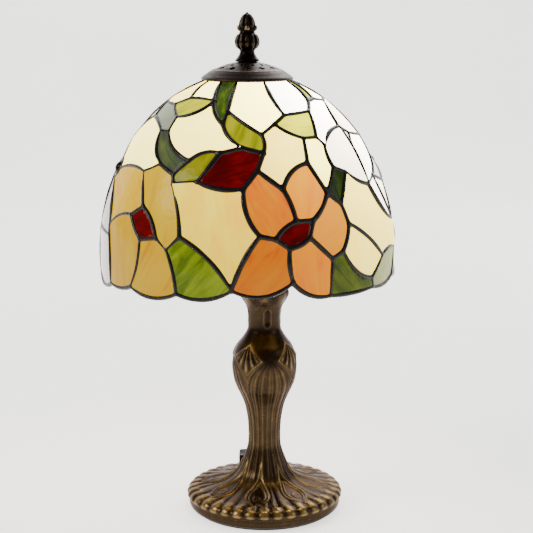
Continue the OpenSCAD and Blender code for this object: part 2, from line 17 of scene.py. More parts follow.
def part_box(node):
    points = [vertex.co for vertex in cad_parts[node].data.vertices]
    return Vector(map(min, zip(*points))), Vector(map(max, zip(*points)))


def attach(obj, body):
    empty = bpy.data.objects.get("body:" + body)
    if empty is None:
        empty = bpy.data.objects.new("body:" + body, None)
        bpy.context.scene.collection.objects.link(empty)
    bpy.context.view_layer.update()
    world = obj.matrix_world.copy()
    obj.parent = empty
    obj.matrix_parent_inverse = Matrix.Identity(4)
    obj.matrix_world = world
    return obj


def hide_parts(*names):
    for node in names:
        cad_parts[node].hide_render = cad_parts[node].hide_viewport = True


bl_info = {
    "name": "Leaded glass lamp",
    "version": (1, 0, 0),
    "blender": (4, 5, 0),
    "location": "3D View > Sidebar > Lamp",
    "description": "Builds the looks of a leaded glass table lamp round its CAD frame",
    "category": "Object",
}

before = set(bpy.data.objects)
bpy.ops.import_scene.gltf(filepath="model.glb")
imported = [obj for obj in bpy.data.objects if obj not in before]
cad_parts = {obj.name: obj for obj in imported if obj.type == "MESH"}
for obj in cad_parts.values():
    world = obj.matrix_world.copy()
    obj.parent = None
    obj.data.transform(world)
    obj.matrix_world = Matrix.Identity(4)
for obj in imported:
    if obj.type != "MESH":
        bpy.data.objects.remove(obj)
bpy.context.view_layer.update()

MM = 0.001
RISER_X = float(sum(c[0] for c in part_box("riser_rod")) / 2)
BULB_LOW, BULB_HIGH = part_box("bulb_glass")
BULB_X = float((BULB_LOW[0] + BULB_HIGH[0]) / 2)
FOOT_R = float(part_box("foot_casting")[1][0])
LIP_Z = float(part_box("foot_casting")[1][2])
FELT_Z = float(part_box("felt_pad")[1][2])
CAP_R = float(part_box("pierced_cap")[1][0]) - RISER_X
CAP_Z = float(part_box("pierced_cap")[0][2])
FINIAL_Z = float(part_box("finial")[0][2])
LATTICE_HALF = float(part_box("solder_lattice")[1][1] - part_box("solder_lattice")[0][1]) / 2

# The camera: lens and sensor in millimetres, place in metres, and degrees below level.
LENS, SENSOR = 93.28, 36.0
CAMERA_AT = (0.0015, -0.940, 0.361)
CAMERA_DIP = 11.25


# ---- The pattern of the shade ----

# Where the solder lines meet: longitude from the front and latitude, for one half of the shade.
# A number of 100 or more is the same spot on the other half, which repeats the first a half turn on.
SPOTS = [
    (-84, 75), (-66, 75), (-37, 75), (-13, 75), (24, 75), (68, 75), (82, 75),
    (-86, -4), (-63, -6), (-48, -5), (-26, -5), (-5, -3), (17, -1), (32, -6), (55, -6), (74, -5),
    (-80, 58), (-61, 58), (-50, 62), (-25, 61), (-46, 52), (-45, 46), (-52, 46), (-74, 51), (-41, 34),
    (-49, 31), (-73, 30), (-77, 33), (-81, 30), (-77, 27), (-84, 41), (-32, 31), (-26, 36), (-31, 28),
    (-20, 29), (-12, 39), (-2, 41), (8, 39), (5, 33), (-1, 27), (-12, 56), (-13, 50),
    (-50, 17), (-44, 20), (-35, 11), (-43, 10), (-66, 12), (-65, 9), (-86, 10), (-25, 12), (-30, 8),
    (24, 54), (16, 50), (8, 46), (53, 60), (44, 55), (38, 44), (30, 44), (41, 41), (15, 27), (28, 35),
    (41, 33), (34, 25), (47, 31), (40, 21), (62, 61), (76, 59), (61, 47), (67, 44), (62, 40), (83, 42),
    (68, 28), (81, 25), (61, 26), (79, 12), (90, 60), (77, 4), (62, 3), (54, -3), (42, 15), (38, 7),
    (33, 5), (11, 12), (19, 17), (26, 17), (24, 12), (16, 9), (5, 13),
]
# Bowed lines: from, to, and how many degrees the middle stands to the left of the straight line.
BOWS = [
    (4, 51, -1.2), (53, 37, 0.8), (36, 41, 1), (41, 19, 0.8), (18, 19, 0.7), (20, 19, -1.8), (22, 23, -1),
    (22, 24, -1.3), (21, 32, -1.5), (32, 35, 1.6), (34, 39, -0.9), (52, 57, -0.6), (58, 61, -0.8),
    (59, 60, 2), (59, 83, 0.6), (39, 87, -1.6), (82, 83, 0.8), (85, 86, 0.6), (84, 62, -0.7),
    (79, 80, 0.6), (86, 12, -0.6), (87, 11, -1), (33, 49, 1.1), (49, 11, 2), (50, 10, 0.8),
    (43, 44, 1.2), (42, 45, -0.5), (25, 26, -1.6), (29, 46, 1.3), (46, 42, 1.5), (47, 8, 0.8),
    (45, 9, 1.5), (7, 8, -3), (8, 9, -1), (9, 10, -2.3), (10, 11, -2.2), (11, 12, -3), (12, 13, -1.9),
    (13, 14, -0.5), (14, 15, -1.2), (15, 107, -1.5), (77, 76, 1), (79, 77, 0.9), (80, 78, -2.3),
    (63, 73, -0.9), (73, 74, -2.3), (71, 74, -0.6), (70, 71, 2.5), (66, 67, -1.5), (67, 58, -1.8),
    (26, 27, -0.8), (27, 28, -0.8), (28, 29, -0.8), (29, 26, -0.8), (23, 30, -1.5), (75, 70, 1),
]
# The spots round each pane, anticlockwise from outside; the way its streaks run, in degrees from level;
# how much more painted glow it has than others of its glass; and how milky it is, from 0 to 1.
PANES = {
    "cream": [
        ([75, 116, 117, 118, 101, 100], 60, 1.4, 0.5), ([2, 1, 18, 19], 80, 2.0, 0.8),
        ([19, 20, 21, 32, 35, 36, 41], 40, 1.5, 0.6), ([3, 40, 53, 52, 51, 4], 85, 2.0, 0.8),
        ([52, 53, 37, 38, 59, 60, 57], 60, 1.2, 0.4), ([57, 60, 62, 61, 58, 56], 75, 1.6, 0.7),
        ([63, 64, 79, 77, 76, 74, 73], 110, 1.3, 0.5), ([79, 80, 78, 77], 100, 1.2, 0.4),
        ([33, 49, 11, 87, 39, 34], 95, 0.72, 0.1), ([23, 30, 27, 26, 25, 24, 22], 30, 1.7, 0.8),
    ],
    "white": [
        ([4, 51, 55, 54, 5], 70, 1.5, 0.8), ([54, 55, 56, 58, 67, 66, 65], 100, 1.5, 0.8),
        ([58, 61, 63, 73, 69, 67], 95, 1.1, 0.2), ([6, 65, 66, 75, 100], 80, 1.2, 0.6),
        ([66, 67, 68, 70, 75], 60, 0.9, 0.3), ([67, 69, 68], 90, 0.7, 0.1),
        ([69, 73, 71, 70, 68], 100, 1.3, 0.8), ([73, 74, 71], 120, 1.5, 0.7),
        ([71, 74, 72], 110, 1.2, 0.5), ([75, 70, 130, 123, 116], 70, 1.0, 0.5),
    ],
    "grey": [
        ([29, 28, 48, 47, 46], 85, 1.0, 0.3), ([47, 48, 7, 8], 85, 1.0, 0.3),
        ([70, 71, 72, 128, 127, 130], 80, 1.0, 0.5),
    ],
    "orange": [
        ([39, 87, 82, 83, 59, 38], 120, 0.85, 0.0), ([59, 83, 84, 62, 60], 75, 1.1, 0.4),
        ([62, 84, 85, 81, 80, 79, 64], 25, 1.1, 0.5), ([85, 86, 12, 13, 81], 100, 1.0, 0.2),
        ([82, 87, 11, 12, 86], 50, 0.7, 0.0),
    ],
    "heart": [([82, 86, 85, 84, 83], 30, 0.9, 0.0), ([42, 45, 44, 43], 0, 1.4, 0.0)],
    "yellow": [
        ([25, 26, 29, 46, 42, 43], 140, 1.1, 0.1), ([25, 43, 44, 50, 49, 33, 31, 24], 95, 1.0, 0.3),
        ([46, 47, 8, 9, 45, 42], 100, 0.9, 0.0), ([45, 9, 10, 50, 44], 60, 0.9, 0.0),
    ],
    "bud": [([34, 39, 38, 37, 36, 35], 15, 1.3, 0.0)],
    "lime": [
        ([18, 17, 20, 19], 50, 1.7, 0.1), ([40, 41, 36, 37, 53], 75, 0.9, 0.0),
        ([5, 54, 65, 6], 80, 1.6, 0.1), ([52, 57, 56, 55, 51], 0, 2.6, 0.15),
        ([32, 31, 33, 34, 35], 60, 0.65, 0.0),
    ],
    "green": [
        ([49, 50, 10, 11], 45, 1.0, 0.0), ([77, 78, 14, 15, 76], 120, 1.4, 0.4),
        ([80, 81, 13, 14, 78], 130, 0.35, 0.0), ([15, 107, 148, 76], 90, 0.9, 0.1),
        ([76, 148, 128, 72, 74], 90, 0.9, 0.1),
    ],
    "dark": [
        ([16, 23, 22, 21, 20, 17], 60, 1.4, 0.4), ([22, 24, 31, 32, 21], 130, 0.4, 0.2),
        ([2, 19, 41, 40, 3], 100, 0.55, 0.0), ([61, 62, 64, 63], 95, 0.2, 0.0),
    ],
    "jewel": [([26, 27, 28, 29], 0, 1.0, 0.0)],
}
# Chains of spots whose lines are wider than the others, round the orange flower and the bud, and finer.
FLOWER_CHAINS = [
    (87, 39, 38, 59, 60, 62, 64, 79, 80, 81, 85, 86, 82, 87, 11), (39, 34, 35, 36, 37, 38), (82, 83, 59),
    (83, 84, 85), (84, 62), (86, 12),
]
FINE_CHAINS = [
    (26, 25, 43), (42, 46), (44, 50), (45, 9), (1, 18, 17, 16, 23), (18, 19), (17, 20), (66, 67, 68, 69),
    (68, 70, 71, 74), (71, 73),
]
# Widths of the lines, in millimetres.
FLOWER_WIDTH, COMMON_WIDTH, FINE_WIDTH = 4.2, 3.5, 2.7


class MouldSettings(bpy.types.PropertyGroup):
    """Sizes of the mould that the shade is built on, and of its lines."""

    radius: FloatProperty(
        name="Radius", description="Radius of the mould at its widest ring", default=LATTICE_HALF - 1.6 * MM,
        unit="LENGTH")
    height: FloatProperty(
        name="Height", description="Height of the dome above its widest ring", default=0.121, unit="LENGTH")
    level: FloatProperty(
        name="Level", description="Height of the widest ring above the table", default=0.185, unit="LENGTH")
    glass: FloatProperty(
        name="Glass", description="Thickness of the panes", default=2.4 * MM, unit="LENGTH")
    crest: FloatProperty(
        name="Crest", description="Height of the solder above the middle of the glass", default=2.3 * MM,
        unit="LENGTH")
    cell: FloatProperty(
        name="Cell", description="Cell of the mesh that melts the solder lines together", default=0.72 * MM,
        unit="LENGTH")


class FinishSettings(bpy.types.PropertyGroup):
    """Light and tone of the glass and of the castings."""

    # Scales the painted glow: the bulb's light painted on the glass as emission
    glow: FloatProperty(name="Glow", description="Brightness of the lit glass", default=1.0, min=0)
    lamp_watts: FloatProperty(name="Bulb", description="Light inside the shade", default=1.2, unit="POWER")
    key_watts: FloatProperty(name="Key light", description="Light from the left", default=22, unit="POWER")
    fill_watts: FloatProperty(name="Fill light", description="Light from the right", default=12, unit="POWER")


# ---- Small tools ----

def linear(hex_text):
    """sRGB hex to linear RGBA: c/12.92 below 0.04045, else ((c + 0.055)/1.055)^2.4."""
    c = np.array([int(hex_text[i:i + 2], 16) for i in (1, 3, 5)]) / 255
    c = np.where(c <= 0.04045, c / 12.92, ((c + 0.055) / 1.055) ** 2.4)
    return (*c.tolist(), 1.0)


def add(tree, kind, settings=None, values=None, links=None):
    """Adds a node, with its settings, its sockets' constants and the outputs that feed it."""
    node = tree.nodes.new(kind)
    for key, value in (settings or {}).items():
        setattr(node, key, value)
    for key, value in (values or {}).items():
        node.inputs[key].default_value = value
    for key, source in (links or {}).items():
        tree.links.new(source, node.inputs[key])
    return node


def new_material(name, **constants):
    """A material whose Principled sockets hold the given constants; returns it, its tree and its shader."""
    material = bpy.data.materials.new(name)
    material.use_nodes = True
    shader = material.node_tree.nodes["Principled BSDF"]
    for key, value in constants.items():
        shader.inputs[key.replace("_", " ")].default_value = value
    return material, material.node_tree, shader


def ramp(tree, factor, stops):
    """A colour ramp through (place, hex) stops, fed by factor; returns its colour output."""
    node = add(tree, "ShaderNodeValToRGB", links={"Fac": factor})
    elements = node.color_ramp.elements
    for place, colour in stops[:-2]:
        elements.new(place)
    for element, (place, colour) in zip(elements, sorted(stops)):
        element.position = place
        element.color = linear(colour)
    return node.outputs["Color"]


def spread(tree, value, low, high, low_to, high_to):
    """Maps a value's range from low..high to low_to..high_to, clamped."""
    node = add(tree, "ShaderNodeMapRange", links={"Value": value}, values={
        "From Min": low, "From Max": high, "To Min": low_to, "To Max": high_to})
    return node.outputs["Result"]


def noise(tree, vector, size_mm, detail=4.0, roughness=0.55):
    """Noise whose lumps are about size_mm wide on Object coordinates or an attribute in metres."""
    node = add(tree, "ShaderNodeTexNoise", links={"Vector": vector}, values={
        "Scale": 1 / (size_mm * MM), "Detail": detail, "Roughness": roughness})
    return node.outputs["Fac"]


def place(tree):
    """Object coordinates, in metres from the lamp's origin."""
    return add(tree, "ShaderNodeTexCoord").outputs["Object"]


def bump(tree, shader, height, depth_mm):
    """Raises the surface by height times depth_mm."""
    node = add(tree, "ShaderNodeBump", values={"Distance": depth_mm * MM, "Strength": 1.0}, links={
        "Height": height})
    tree.links.new(node.outputs["Normal"], shader.inputs["Normal"])


def in_scene(name, data):
    """A new object of the given data, linked to the scene."""
    made = bpy.data.objects.new(name, data)
    bpy.context.scene.collection.objects.link(made)
    return made


def new_piece(name, points, faces, material, body, slot, nodes, crisp=()):
    """Puts arrays into a mesh: points (n, 3), and a list of face arrays, each (m, corners).

    The face arrays whose places are in crisp are shaded flat.
    """
    mesh = bpy.data.meshes.new(name)
    mesh.vertices.add(len(points))
    mesh.vertices.foreach_set("co", np.ascontiguousarray(points, dtype=np.float32).ravel())
    corners = np.concatenate([f.ravel() for f in faces]).astype(np.int32)
    sizes = np.concatenate([np.full(len(f), f.shape[1]) for f in faces])
    mesh.loops.add(len(corners))
    mesh.loops.foreach_set("vertex_index", corners)
    mesh.polygons.add(len(sizes))
    mesh.polygons.foreach_set("loop_start", (np.cumsum(sizes) - sizes).astype(np.int32))
    smooth = np.concatenate([np.full(len(f), i not in crisp) for i, f in enumerate(faces)])
    mesh.polygons.foreach_set("use_smooth", smooth)
    mesh.update(calc_edges=True)
    if mesh.validate():
        raise RuntimeError(f"{name} has faces that Blender had to mend")
    mesh.materials.append(material)
    piece = in_scene(name, mesh)
    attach(piece, body)
    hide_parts(*nodes)
    return piece


def mark(piece, name, values):
    """Stores one number or one vector per vertex as the piece's own attribute."""
    kind, field = ("FLOAT", "value") if values.ndim == 1 else ("FLOAT_VECTOR", "vector")
    layer = piece.data.attributes.new(name, kind, "POINT")
    layer.data.foreach_set(field, np.ascontiguousarray(values, dtype=np.float32).ravel())


def smooth_line(stations, steps):
    """Catmull-Rom: each stretch is a cubic through its stations, its slopes set by its neighbours."""
    s = np.asarray(stations, float)
    p = np.vstack([s[:1], s, s[-1:]])
    a, b, c, d = p[:-3], p[1:-2], p[2:-1], p[3:]
    t = np.linspace(0, 1, steps, endpoint=False)[:, None, None]
    q = 0.5 * (2 * b + (c - a) * t + (2 * a - 5 * b + 4 * c - d) * t ** 2 + (3 * b - a - 3 * c + d) * t ** 3)
    return np.vstack([q.transpose(1, 0, 2).reshape(-1, s.shape[1]), s[-1:]])


def even_line(points, count):
    """The same line at count points, spaced by equal lengths."""
    length = np.concatenate([[0], np.cumsum(np.linalg.norm(np.diff(points, axis=0), axis=1))])
    at = np.linspace(0, length[-1], count)
    return np.stack([np.interp(at, length, points[:, k]) for k in range(points.shape[1])], axis=1)


def ring_faces(rows, columns, closed_rows=False):
    """Quads of a grid whose columns go round, and whose rows may close as well."""
    i = np.arange(rows if closed_rows else rows - 1)[:, None]
    j = np.arange(columns)[None, :]
    a, b = i * columns + j, i * columns + (j + 1) % columns
    k = ((i + 1) % rows) * columns
    c, d = k + (j + 1) % columns, k + j
    return np.stack([a, b, c, d], axis=-1).reshape(-1, 4)


def turned(line, columns, centre_x=0.0, relief=None):
    """Turns a line (radius, height) round a vertical axis and raises it along its normal by relief.

    x = centre + r sin(angle), y = -r cos(angle), z = height, with angle 0 at the front, and each
    point moves by relief(angle, radius, height) along the line's normal.  Returns points and relief.
    """
    angle = np.arange(columns) * (2 * math.pi / columns)
    slope = np.gradient(line, axis=0)
    slope /= np.maximum(np.linalg.norm(slope, axis=1, keepdims=True), 1e-12)
    normal = np.stack([slope[:, 1], -slope[:, 0]], axis=1)
    r, z = np.broadcast_arrays(line[:, :1], np.ones(columns))[0], np.repeat(line[:, 1:], columns, axis=1)
    raised = np.zeros_like(z) if relief is None else relief(angle[None, :] + 0 * z, r, z)
    r = r + raised * normal[:, :1]
    z = z + raised * normal[:, 1:]
    points = np.stack([centre_x + r * np.sin(angle), -r * np.cos(angle), z], axis=-1)
    return points.reshape(-1, 3), raised.ravel()


def bell(x, width):
    """exp(-(x/width)^2), a soft ridge."""
    return np.exp(-(x / width) ** 2)


def step(x, low, high):
    """0 below low, 1 above high, and 3t^2 - 2t^3 between."""
    t = np.clip((x - low) / (high - low), 0, 1)
    return t * t * (3 - 2 * t)


def wrapped(angle, count, start=0.0):
    """The angle from the nearest of count equal places round the axis, the first at start."""
    pitch = 2 * math.pi / count
    return (angle - start + pitch / 2) % pitch - pitch / 2


# ---- Finishes ----

def attribute(tree, name):
    """The node that reads an attribute of the piece."""
    return add(tree, "ShaderNodeAttribute", {"attribute_name": name})


def sum_of(tree, first, share, second):
    """share times first, plus second."""
    node = add(tree, "ShaderNodeMath", {"operation": "MULTIPLY_ADD"}, {1: share}, {0: first, 2: second})
    return node.outputs[0]


def dress(tree, shader, colour, rough, height, depth_mm):
    """Feeds a shader its colour and roughness, and raises its surface by height times depth_mm."""
    tree.links.new(colour, shader.inputs["Base Color"])
    if rough is not None:
        tree.links.new(rough, shader.inputs["Roughness"])
    bump(tree, shader, height, depth_mm)


def patinated(name, mottle, stops, rough, grain, **constants):
    """Plated and patinated casting: its colour runs along the stops by the relief's wear plus a mottle.

    mottle is (size in mm, detail, share); rough is (size in mm, least, most); grain is (size, depth), in mm.
    """
    material, tree, shader = new_material(name, **constants)
    here = place(tree)
    size, detail, share = mottle
    mixed = sum_of(tree, noise(tree, here, size, detail), share, attribute(tree, "relief").outputs["Fac"])
    clouds = noise(tree, here, rough[0], 3.0)
    dress(tree, shader, ramp(tree, mixed, stops), spread(tree, clouds, 0.3, 0.7, *rough[1:]),
          noise(tree, here, grain[0], 3.0), grain[1])
    return material


def antique_bronze():
    """Cast zinc, plated and patinated: raised edges are rubbed to a gold brown, hollows stay near black."""
    stops = [(0.16, "#0E0804"), (0.42, "#1C1208"), (0.62, "#2B1F10"), (0.82, "#45361F"), (1.0, "#78623C")]
    return patinated(
        "Antique bronze plate", (9.0, 5.0, 0.36), stops, (2.5, 0.24, 0.4), (1.1, 0.05), Metallic=0.96,
        Roughness=0.33, Coat_Weight=0.1, Coat_Roughness=0.2, Specular_Tint=linear("#D0C8C8"))


def dark_cap_bronze():
    """The cap's spun plate: a browner, duller patina, because no hand rubs it."""
    stops = [(0.15, "#0E0705"), (0.5, "#2E1F18"), (0.75, "#4C382E"), (1.0, "#7A6450")]
    return patinated(
        "Brown patina plate", (6.0, 5.0, 0.4), stops, (2.0, 0.34, 0.52), (0.8, 0.04), Metallic=0.9,
        Roughness=0.42)


def finial_bronze():
    """The finial's casting: nearly black and smooth, so its ribs and knobs throw small hard glints."""
    stops = [(0.2, "#060403"), (0.5, "#17110C"), (0.75, "#3A2E22"), (1.0, "#8A7656")]
    return patinated(
        "Black bronze plate", (3.0, 4.0, 0.3), stops, (1.5, 0.16, 0.34), (0.9, 0.05), Metallic=1.0,
        Roughness=0.24)


def black_solder():
    """Tin-lead solder with a black patina: hand-laid, so it is lumpy and throws small hard glints."""
    material, tree, shader = new_material(
        "Black patina solder", Metallic=0.15, Roughness=0.28, Specular_IOR_Level=0.22)
    here = place(tree)
    colour = ramp(tree, noise(tree, here, 5.0, 5.0), [(0.3, "#050303"), (0.55, "#0A0706"), (0.8, "#1C1411")])
    rough = spread(tree, noise(tree, here, 3.0, 3.0), 0.3, 0.7, 0.2, 0.42)
    dress(tree, shader, colour, rough, noise(tree, here, 2.6, 2.0), 0.22)
    return material


# Each kind of glass: colours from its thin streaks to its dense ones, the colour of its milk, streak
# length and width in millimetres, and how much of the bulb's light comes through, which scales its painted
# glow.
GLASS = {
    "cream": (["#FFE650", "#FFDA20", "#FFCC00", "#FFB400"], "#FFF488", 60, 16, 3.4),
    "white": (["#FFF4DC", "#FFEECC", "#FFE4BC", "#FFD4AC"], "#FFFAE8", 50, 14, 4.6),
    "grey": (["#FFE8E0", "#F0D8D0", "#DCC8C2", "#C4B4B0"], "#FFFFFF", 50, 12, 1.9),
    "orange": (["#FFA000", "#FF8E00", "#FF8000", "#F46400"], "#FFB410", 26, 5, 1.6),
    "heart": (["#C00400", "#9A0200", "#700000", "#480000"], "#FF6040", 20, 6, 0.5),
    "yellow": (["#FFD200", "#FFCA00", "#FFC000", "#ECA600"], "#FFE030", 34, 3.6, 1.35),
    "bud": (["#C00402", "#9A0202", "#700000", "#480000"], "#FF6040", 24, 7, 0.5),
    "lime": (["#FCF404", "#E8E400", "#C4C804", "#94A008"], "#FFF040", 30, 6, 0.7),
    "green": (["#C4D420", "#A8C018", "#7E9A10", "#54700A"], "#FFF4B0", 30, 6, 0.8),
    "dark": (["#A4B814", "#5E7C24", "#3E5626", "#26361E"], "#E4E6CC", 22, 5, 0.85),
    "jewel": (["#1E2450", "#12163A", "#0A0C26", "#050616"], "#404880", 10, 6, 0.3),
}


def opal_glass(kind):
    """Rolled opalescent glass: milky streaks through a clear body, rippled by the roller and polished; the
    bulb's light through it is painted as emission.
    """
    tones, milk, long_mm, wide_mm, clear = GLASS[kind]
    material, tree, shader = new_material(
        f"Opalescent {kind} glass", Roughness=0.14, IOR=1.5, Specular_IOR_Level=0.08)
    grain = attribute(tree, "grain").outputs["Vector"]
    stretched = scaled(tree, grain, (1 / long_mm, 1 / wide_mm, 1.0))
    streaks = add(tree, "ShaderNodeTexNoise", values={
        "Scale": 1.0, "Detail": 6.0, "Roughness": 0.6, "Distortion": 0.7}, links={"Vector": stretched})
    clouds = add(tree, "ShaderNodeTexNoise", values={"Scale": 0.045, "Detail": 2.0}, links={"Vector": grain})
    both = sum_of(tree, clouds.outputs["Fac"], 0.5, streaks.outputs["Fac"])
    body = ramp(tree, both, list(zip((0.5, 0.68, 0.84, 1.0), tones)))
    milky = attribute(tree, "milk").outputs["Fac"]
    blend = add(tree, "ShaderNodeMix", {"data_type": "RGBA"}, {7: linear(milk)}, {0: milky, 6: body})
    colour = blend.outputs[2]
    # Painted light: the bulb's light through the glass is painted as emission, glow attribute times clear;
    # base colour kept at 6 % beneath it
    glow = attribute(tree, "glow").outputs["Fac"]
    strength = add(tree, "ShaderNodeMath", {"operation": "MULTIPLY"}, {
        1: clear * bpy.context.scene.lamp_finish.glow}, {0: glow})
    unlit = add(tree, "ShaderNodeMix", {"data_type": "RGBA", "blend_type": "MULTIPLY"}, {
        0: 1.0, 7: (0.06, 0.06, 0.06, 1)}, {6: colour})
    tree.links.new(colour, shader.inputs["Emission Color"])
    tree.links.new(strength.outputs[0], shader.inputs["Emission Strength"])
    dress(tree, shader, unlit.outputs[2], None, noise(tree, place(tree), 7.0, 2.0), 0.25)
    return material


def scaled(tree, vector, factors):
    """A vector times a constant one, part by part."""
    return add(tree, "ShaderNodeVectorMath", {"operation": "MULTIPLY"}, {1: factors}, {0: vector}).outputs[0]


def plain_metal(name, tones, roughness, grain_mm):
    """Turned or drawn metal: a lightly clouded tone and fine tool marks, which catch the light in lines."""
    material, tree, shader = new_material(name, Metallic=1.0, Roughness=roughness)
    here = place(tree)
    colour = ramp(tree, noise(tree, here, 7.0, 5.0), list(zip((0.3, 0.55, 0.8), tones)))
    marks = noise(tree, scaled(tree, here, (1.0, 1.0, 14.0)), grain_mm * 6, 3.0)
    dress(tree, shader, colour, spread(tree, marks, 0.3, 0.7, roughness * 0.75, roughness * 1.3), marks, 0.02)
    return material


def moulded(name, tones, roughness, grain_mm, depth_mm=0.03, **constants):
    """Moulded plastic, rubber, card or felt: a fine even grain, with a tone that drifts a little."""
    material, tree, shader = new_material(name, Roughness=roughness, **constants)
    here = place(tree)
    grain = noise(tree, here, grain_mm, 3.0)
    mixed = sum_of(tree, grain, 0.5, noise(tree, here, grain_mm * 9, 3.0))
    colour = ramp(tree, mixed, list(zip((0.5, 0.75, 1.0), tones)))
    rough = spread(tree, grain, 0.3, 0.7, roughness * 0.85, min(roughness * 1.15, 1))
    dress(tree, shader, colour, rough, grain, depth_mm)
    return material


def lit_bulb_glass():
    """A frosted candle bulb, lit: warm white, dimmest at its neck and full from its waist up."""
    material, tree, shader = new_material("Frosted bulb glass", Roughness=0.35, IOR=1.5)
    here = place(tree)
    height = add(tree, "ShaderNodeSeparateXYZ", links={"Vector": here}).outputs["Z"]
    waist = float(BULB_LOW[2] * 0.5 + BULB_HIGH[2] * 0.5)
    warm = spread(tree, height, float(BULB_LOW[2]), waist, 1.5, 5.0)
    colour = ramp(tree, noise(tree, here, 12.0, 2.0), [(0.3, "#FFD9A0"), (0.55, "#FFE6BE"), (0.8, "#FFF1D8")])
    tree.links.new(colour, shader.inputs["Emission Color"])
    tree.links.new(warm, shader.inputs["Emission Strength"])
    dress(tree, shader, colour, None, noise(tree, here, 0.6, 2.0), 0.01)
    return material


# ---- Shapes of the shade ----

def mould_point(flat, out):
    """The mould's point, moved out by o on every axis of its ellipsoid.

    x = riser + (a + o) cos(lat) sin(lon), y = -(a + o) cos(lat) cos(lon), z = level + (h + o) sin(lat)
    """
    mould = bpy.context.scene.lamp_mould
    lon, lat = np.radians(flat[..., 0]), np.radians(flat[..., 1])
    a, h = mould.radius + out, mould.height + out
    across, down = a * np.cos(lat) * np.sin(lon), -a * np.cos(lat) * np.cos(lon)
    return np.stack([RISER_X + across, down, mould.level + h * np.sin(lat)], axis=-1)


def mould_frame(flat, out):
    """The mould's point with its directions east, north and outward, one row for each (lon, lat)."""
    centre, up = mould_point(flat, out)[:, None], mould_normal(flat)[:, None]
    east = np.cross(np.array([0.0, 0.0, 1.0]), up)
    east /= np.linalg.norm(east, axis=-1, keepdims=True)
    return centre, east, np.cross(up, east), up


def mould_normal(flat):
    """The mould's outward normal, the gradient of its ellipsoid."""
    mould = bpy.context.scene.lamp_mould
    lon, lat = np.radians(flat[..., 0]), np.radians(flat[..., 1])
    n = np.stack([np.cos(lat) * np.sin(lon) / mould.radius, -np.cos(lat) * np.cos(lon) / mould.radius,
                  np.sin(lat) / mould.height], axis=-1)
    return n / np.linalg.norm(n, axis=-1, keepdims=True)


def spot(i, half):
    """Longitude and latitude of spot i on the given half."""
    lon, lat = SPOTS[i % 100]
    return np.array([lon + 180.0 * (i // 100 + half), lat])


def bow(a, b):
    """The bow of the line from a to b, whichever way it is listed."""
    for p, q, height in BOWS:
        if (p % 100, q % 100) == (a % 100, b % 100):
            return height
        if (p % 100, q % 100) == (b % 100, a % 100):
            return -height
    return 0.0


def line_points(a, b, half, count):
    """count + 1 points from spot a to spot b: straight, plus 4 t (1 - t) times the bow along its normal."""
    p, q = spot(a, half), spot(b, half)
    k = math.cos(math.radians((p[1] + q[1]) / 2))
    d = np.array([(q[0] - p[0]) * k, q[1] - p[1]])
    u = d / np.linalg.norm(d)
    t = np.linspace(0, 1, count + 1)[:, None]
    return p + (q - p) * t + np.array([-u[1] / k, u[0]]) * bow(a, b) * 4 * t * (1 - t)


def ring(ids, half, count=8):
    """The closed outline of a pane."""
    return np.vstack([line_points(a, b, half, count)[:-1] for a, b in zip(ids, ids[1:] + ids[:1])])


def lines_of_shade():
    """Every solder line once, as (spot, spot, half)."""
    found = {}
    for half in (0, 1):
        for group in PANES.values():
            for ids, *_ in group:
                for a, b in zip(ids, ids[1:] + ids[:1]):
                    key = frozenset(((i % 100), (i // 100 + half) % 2) for i in (a, b))
                    found.setdefault(key, (a, b, half))
    return list(found.values())


def line_width(a, b):
    """Width of the line between two spots, in metres."""
    pair = {a % 100, b % 100}
    for chains, width in ((FLOWER_CHAINS, FLOWER_WIDTH), (FINE_CHAINS, FINE_WIDTH)):
        if any(pair == set(line) for chain in chains for line in zip(chain, chain[1:])):
            return width * MM
    return COMMON_WIDTH * MM


def wobble(points, size_mm, seed):
    """A smooth -1..1 wander over space: the product of three sines with unlike periods."""
    p = points / (size_mm * MM)
    return (np.sin(p[..., 0] * 1.7 + seed) * np.sin(p[..., 1] * 1.3 + 2 * seed + p[..., 2] * 0.7)
            + np.sin(p[..., 2] * 1.9 + 3 * seed + p[..., 0] * 0.5)) / 2


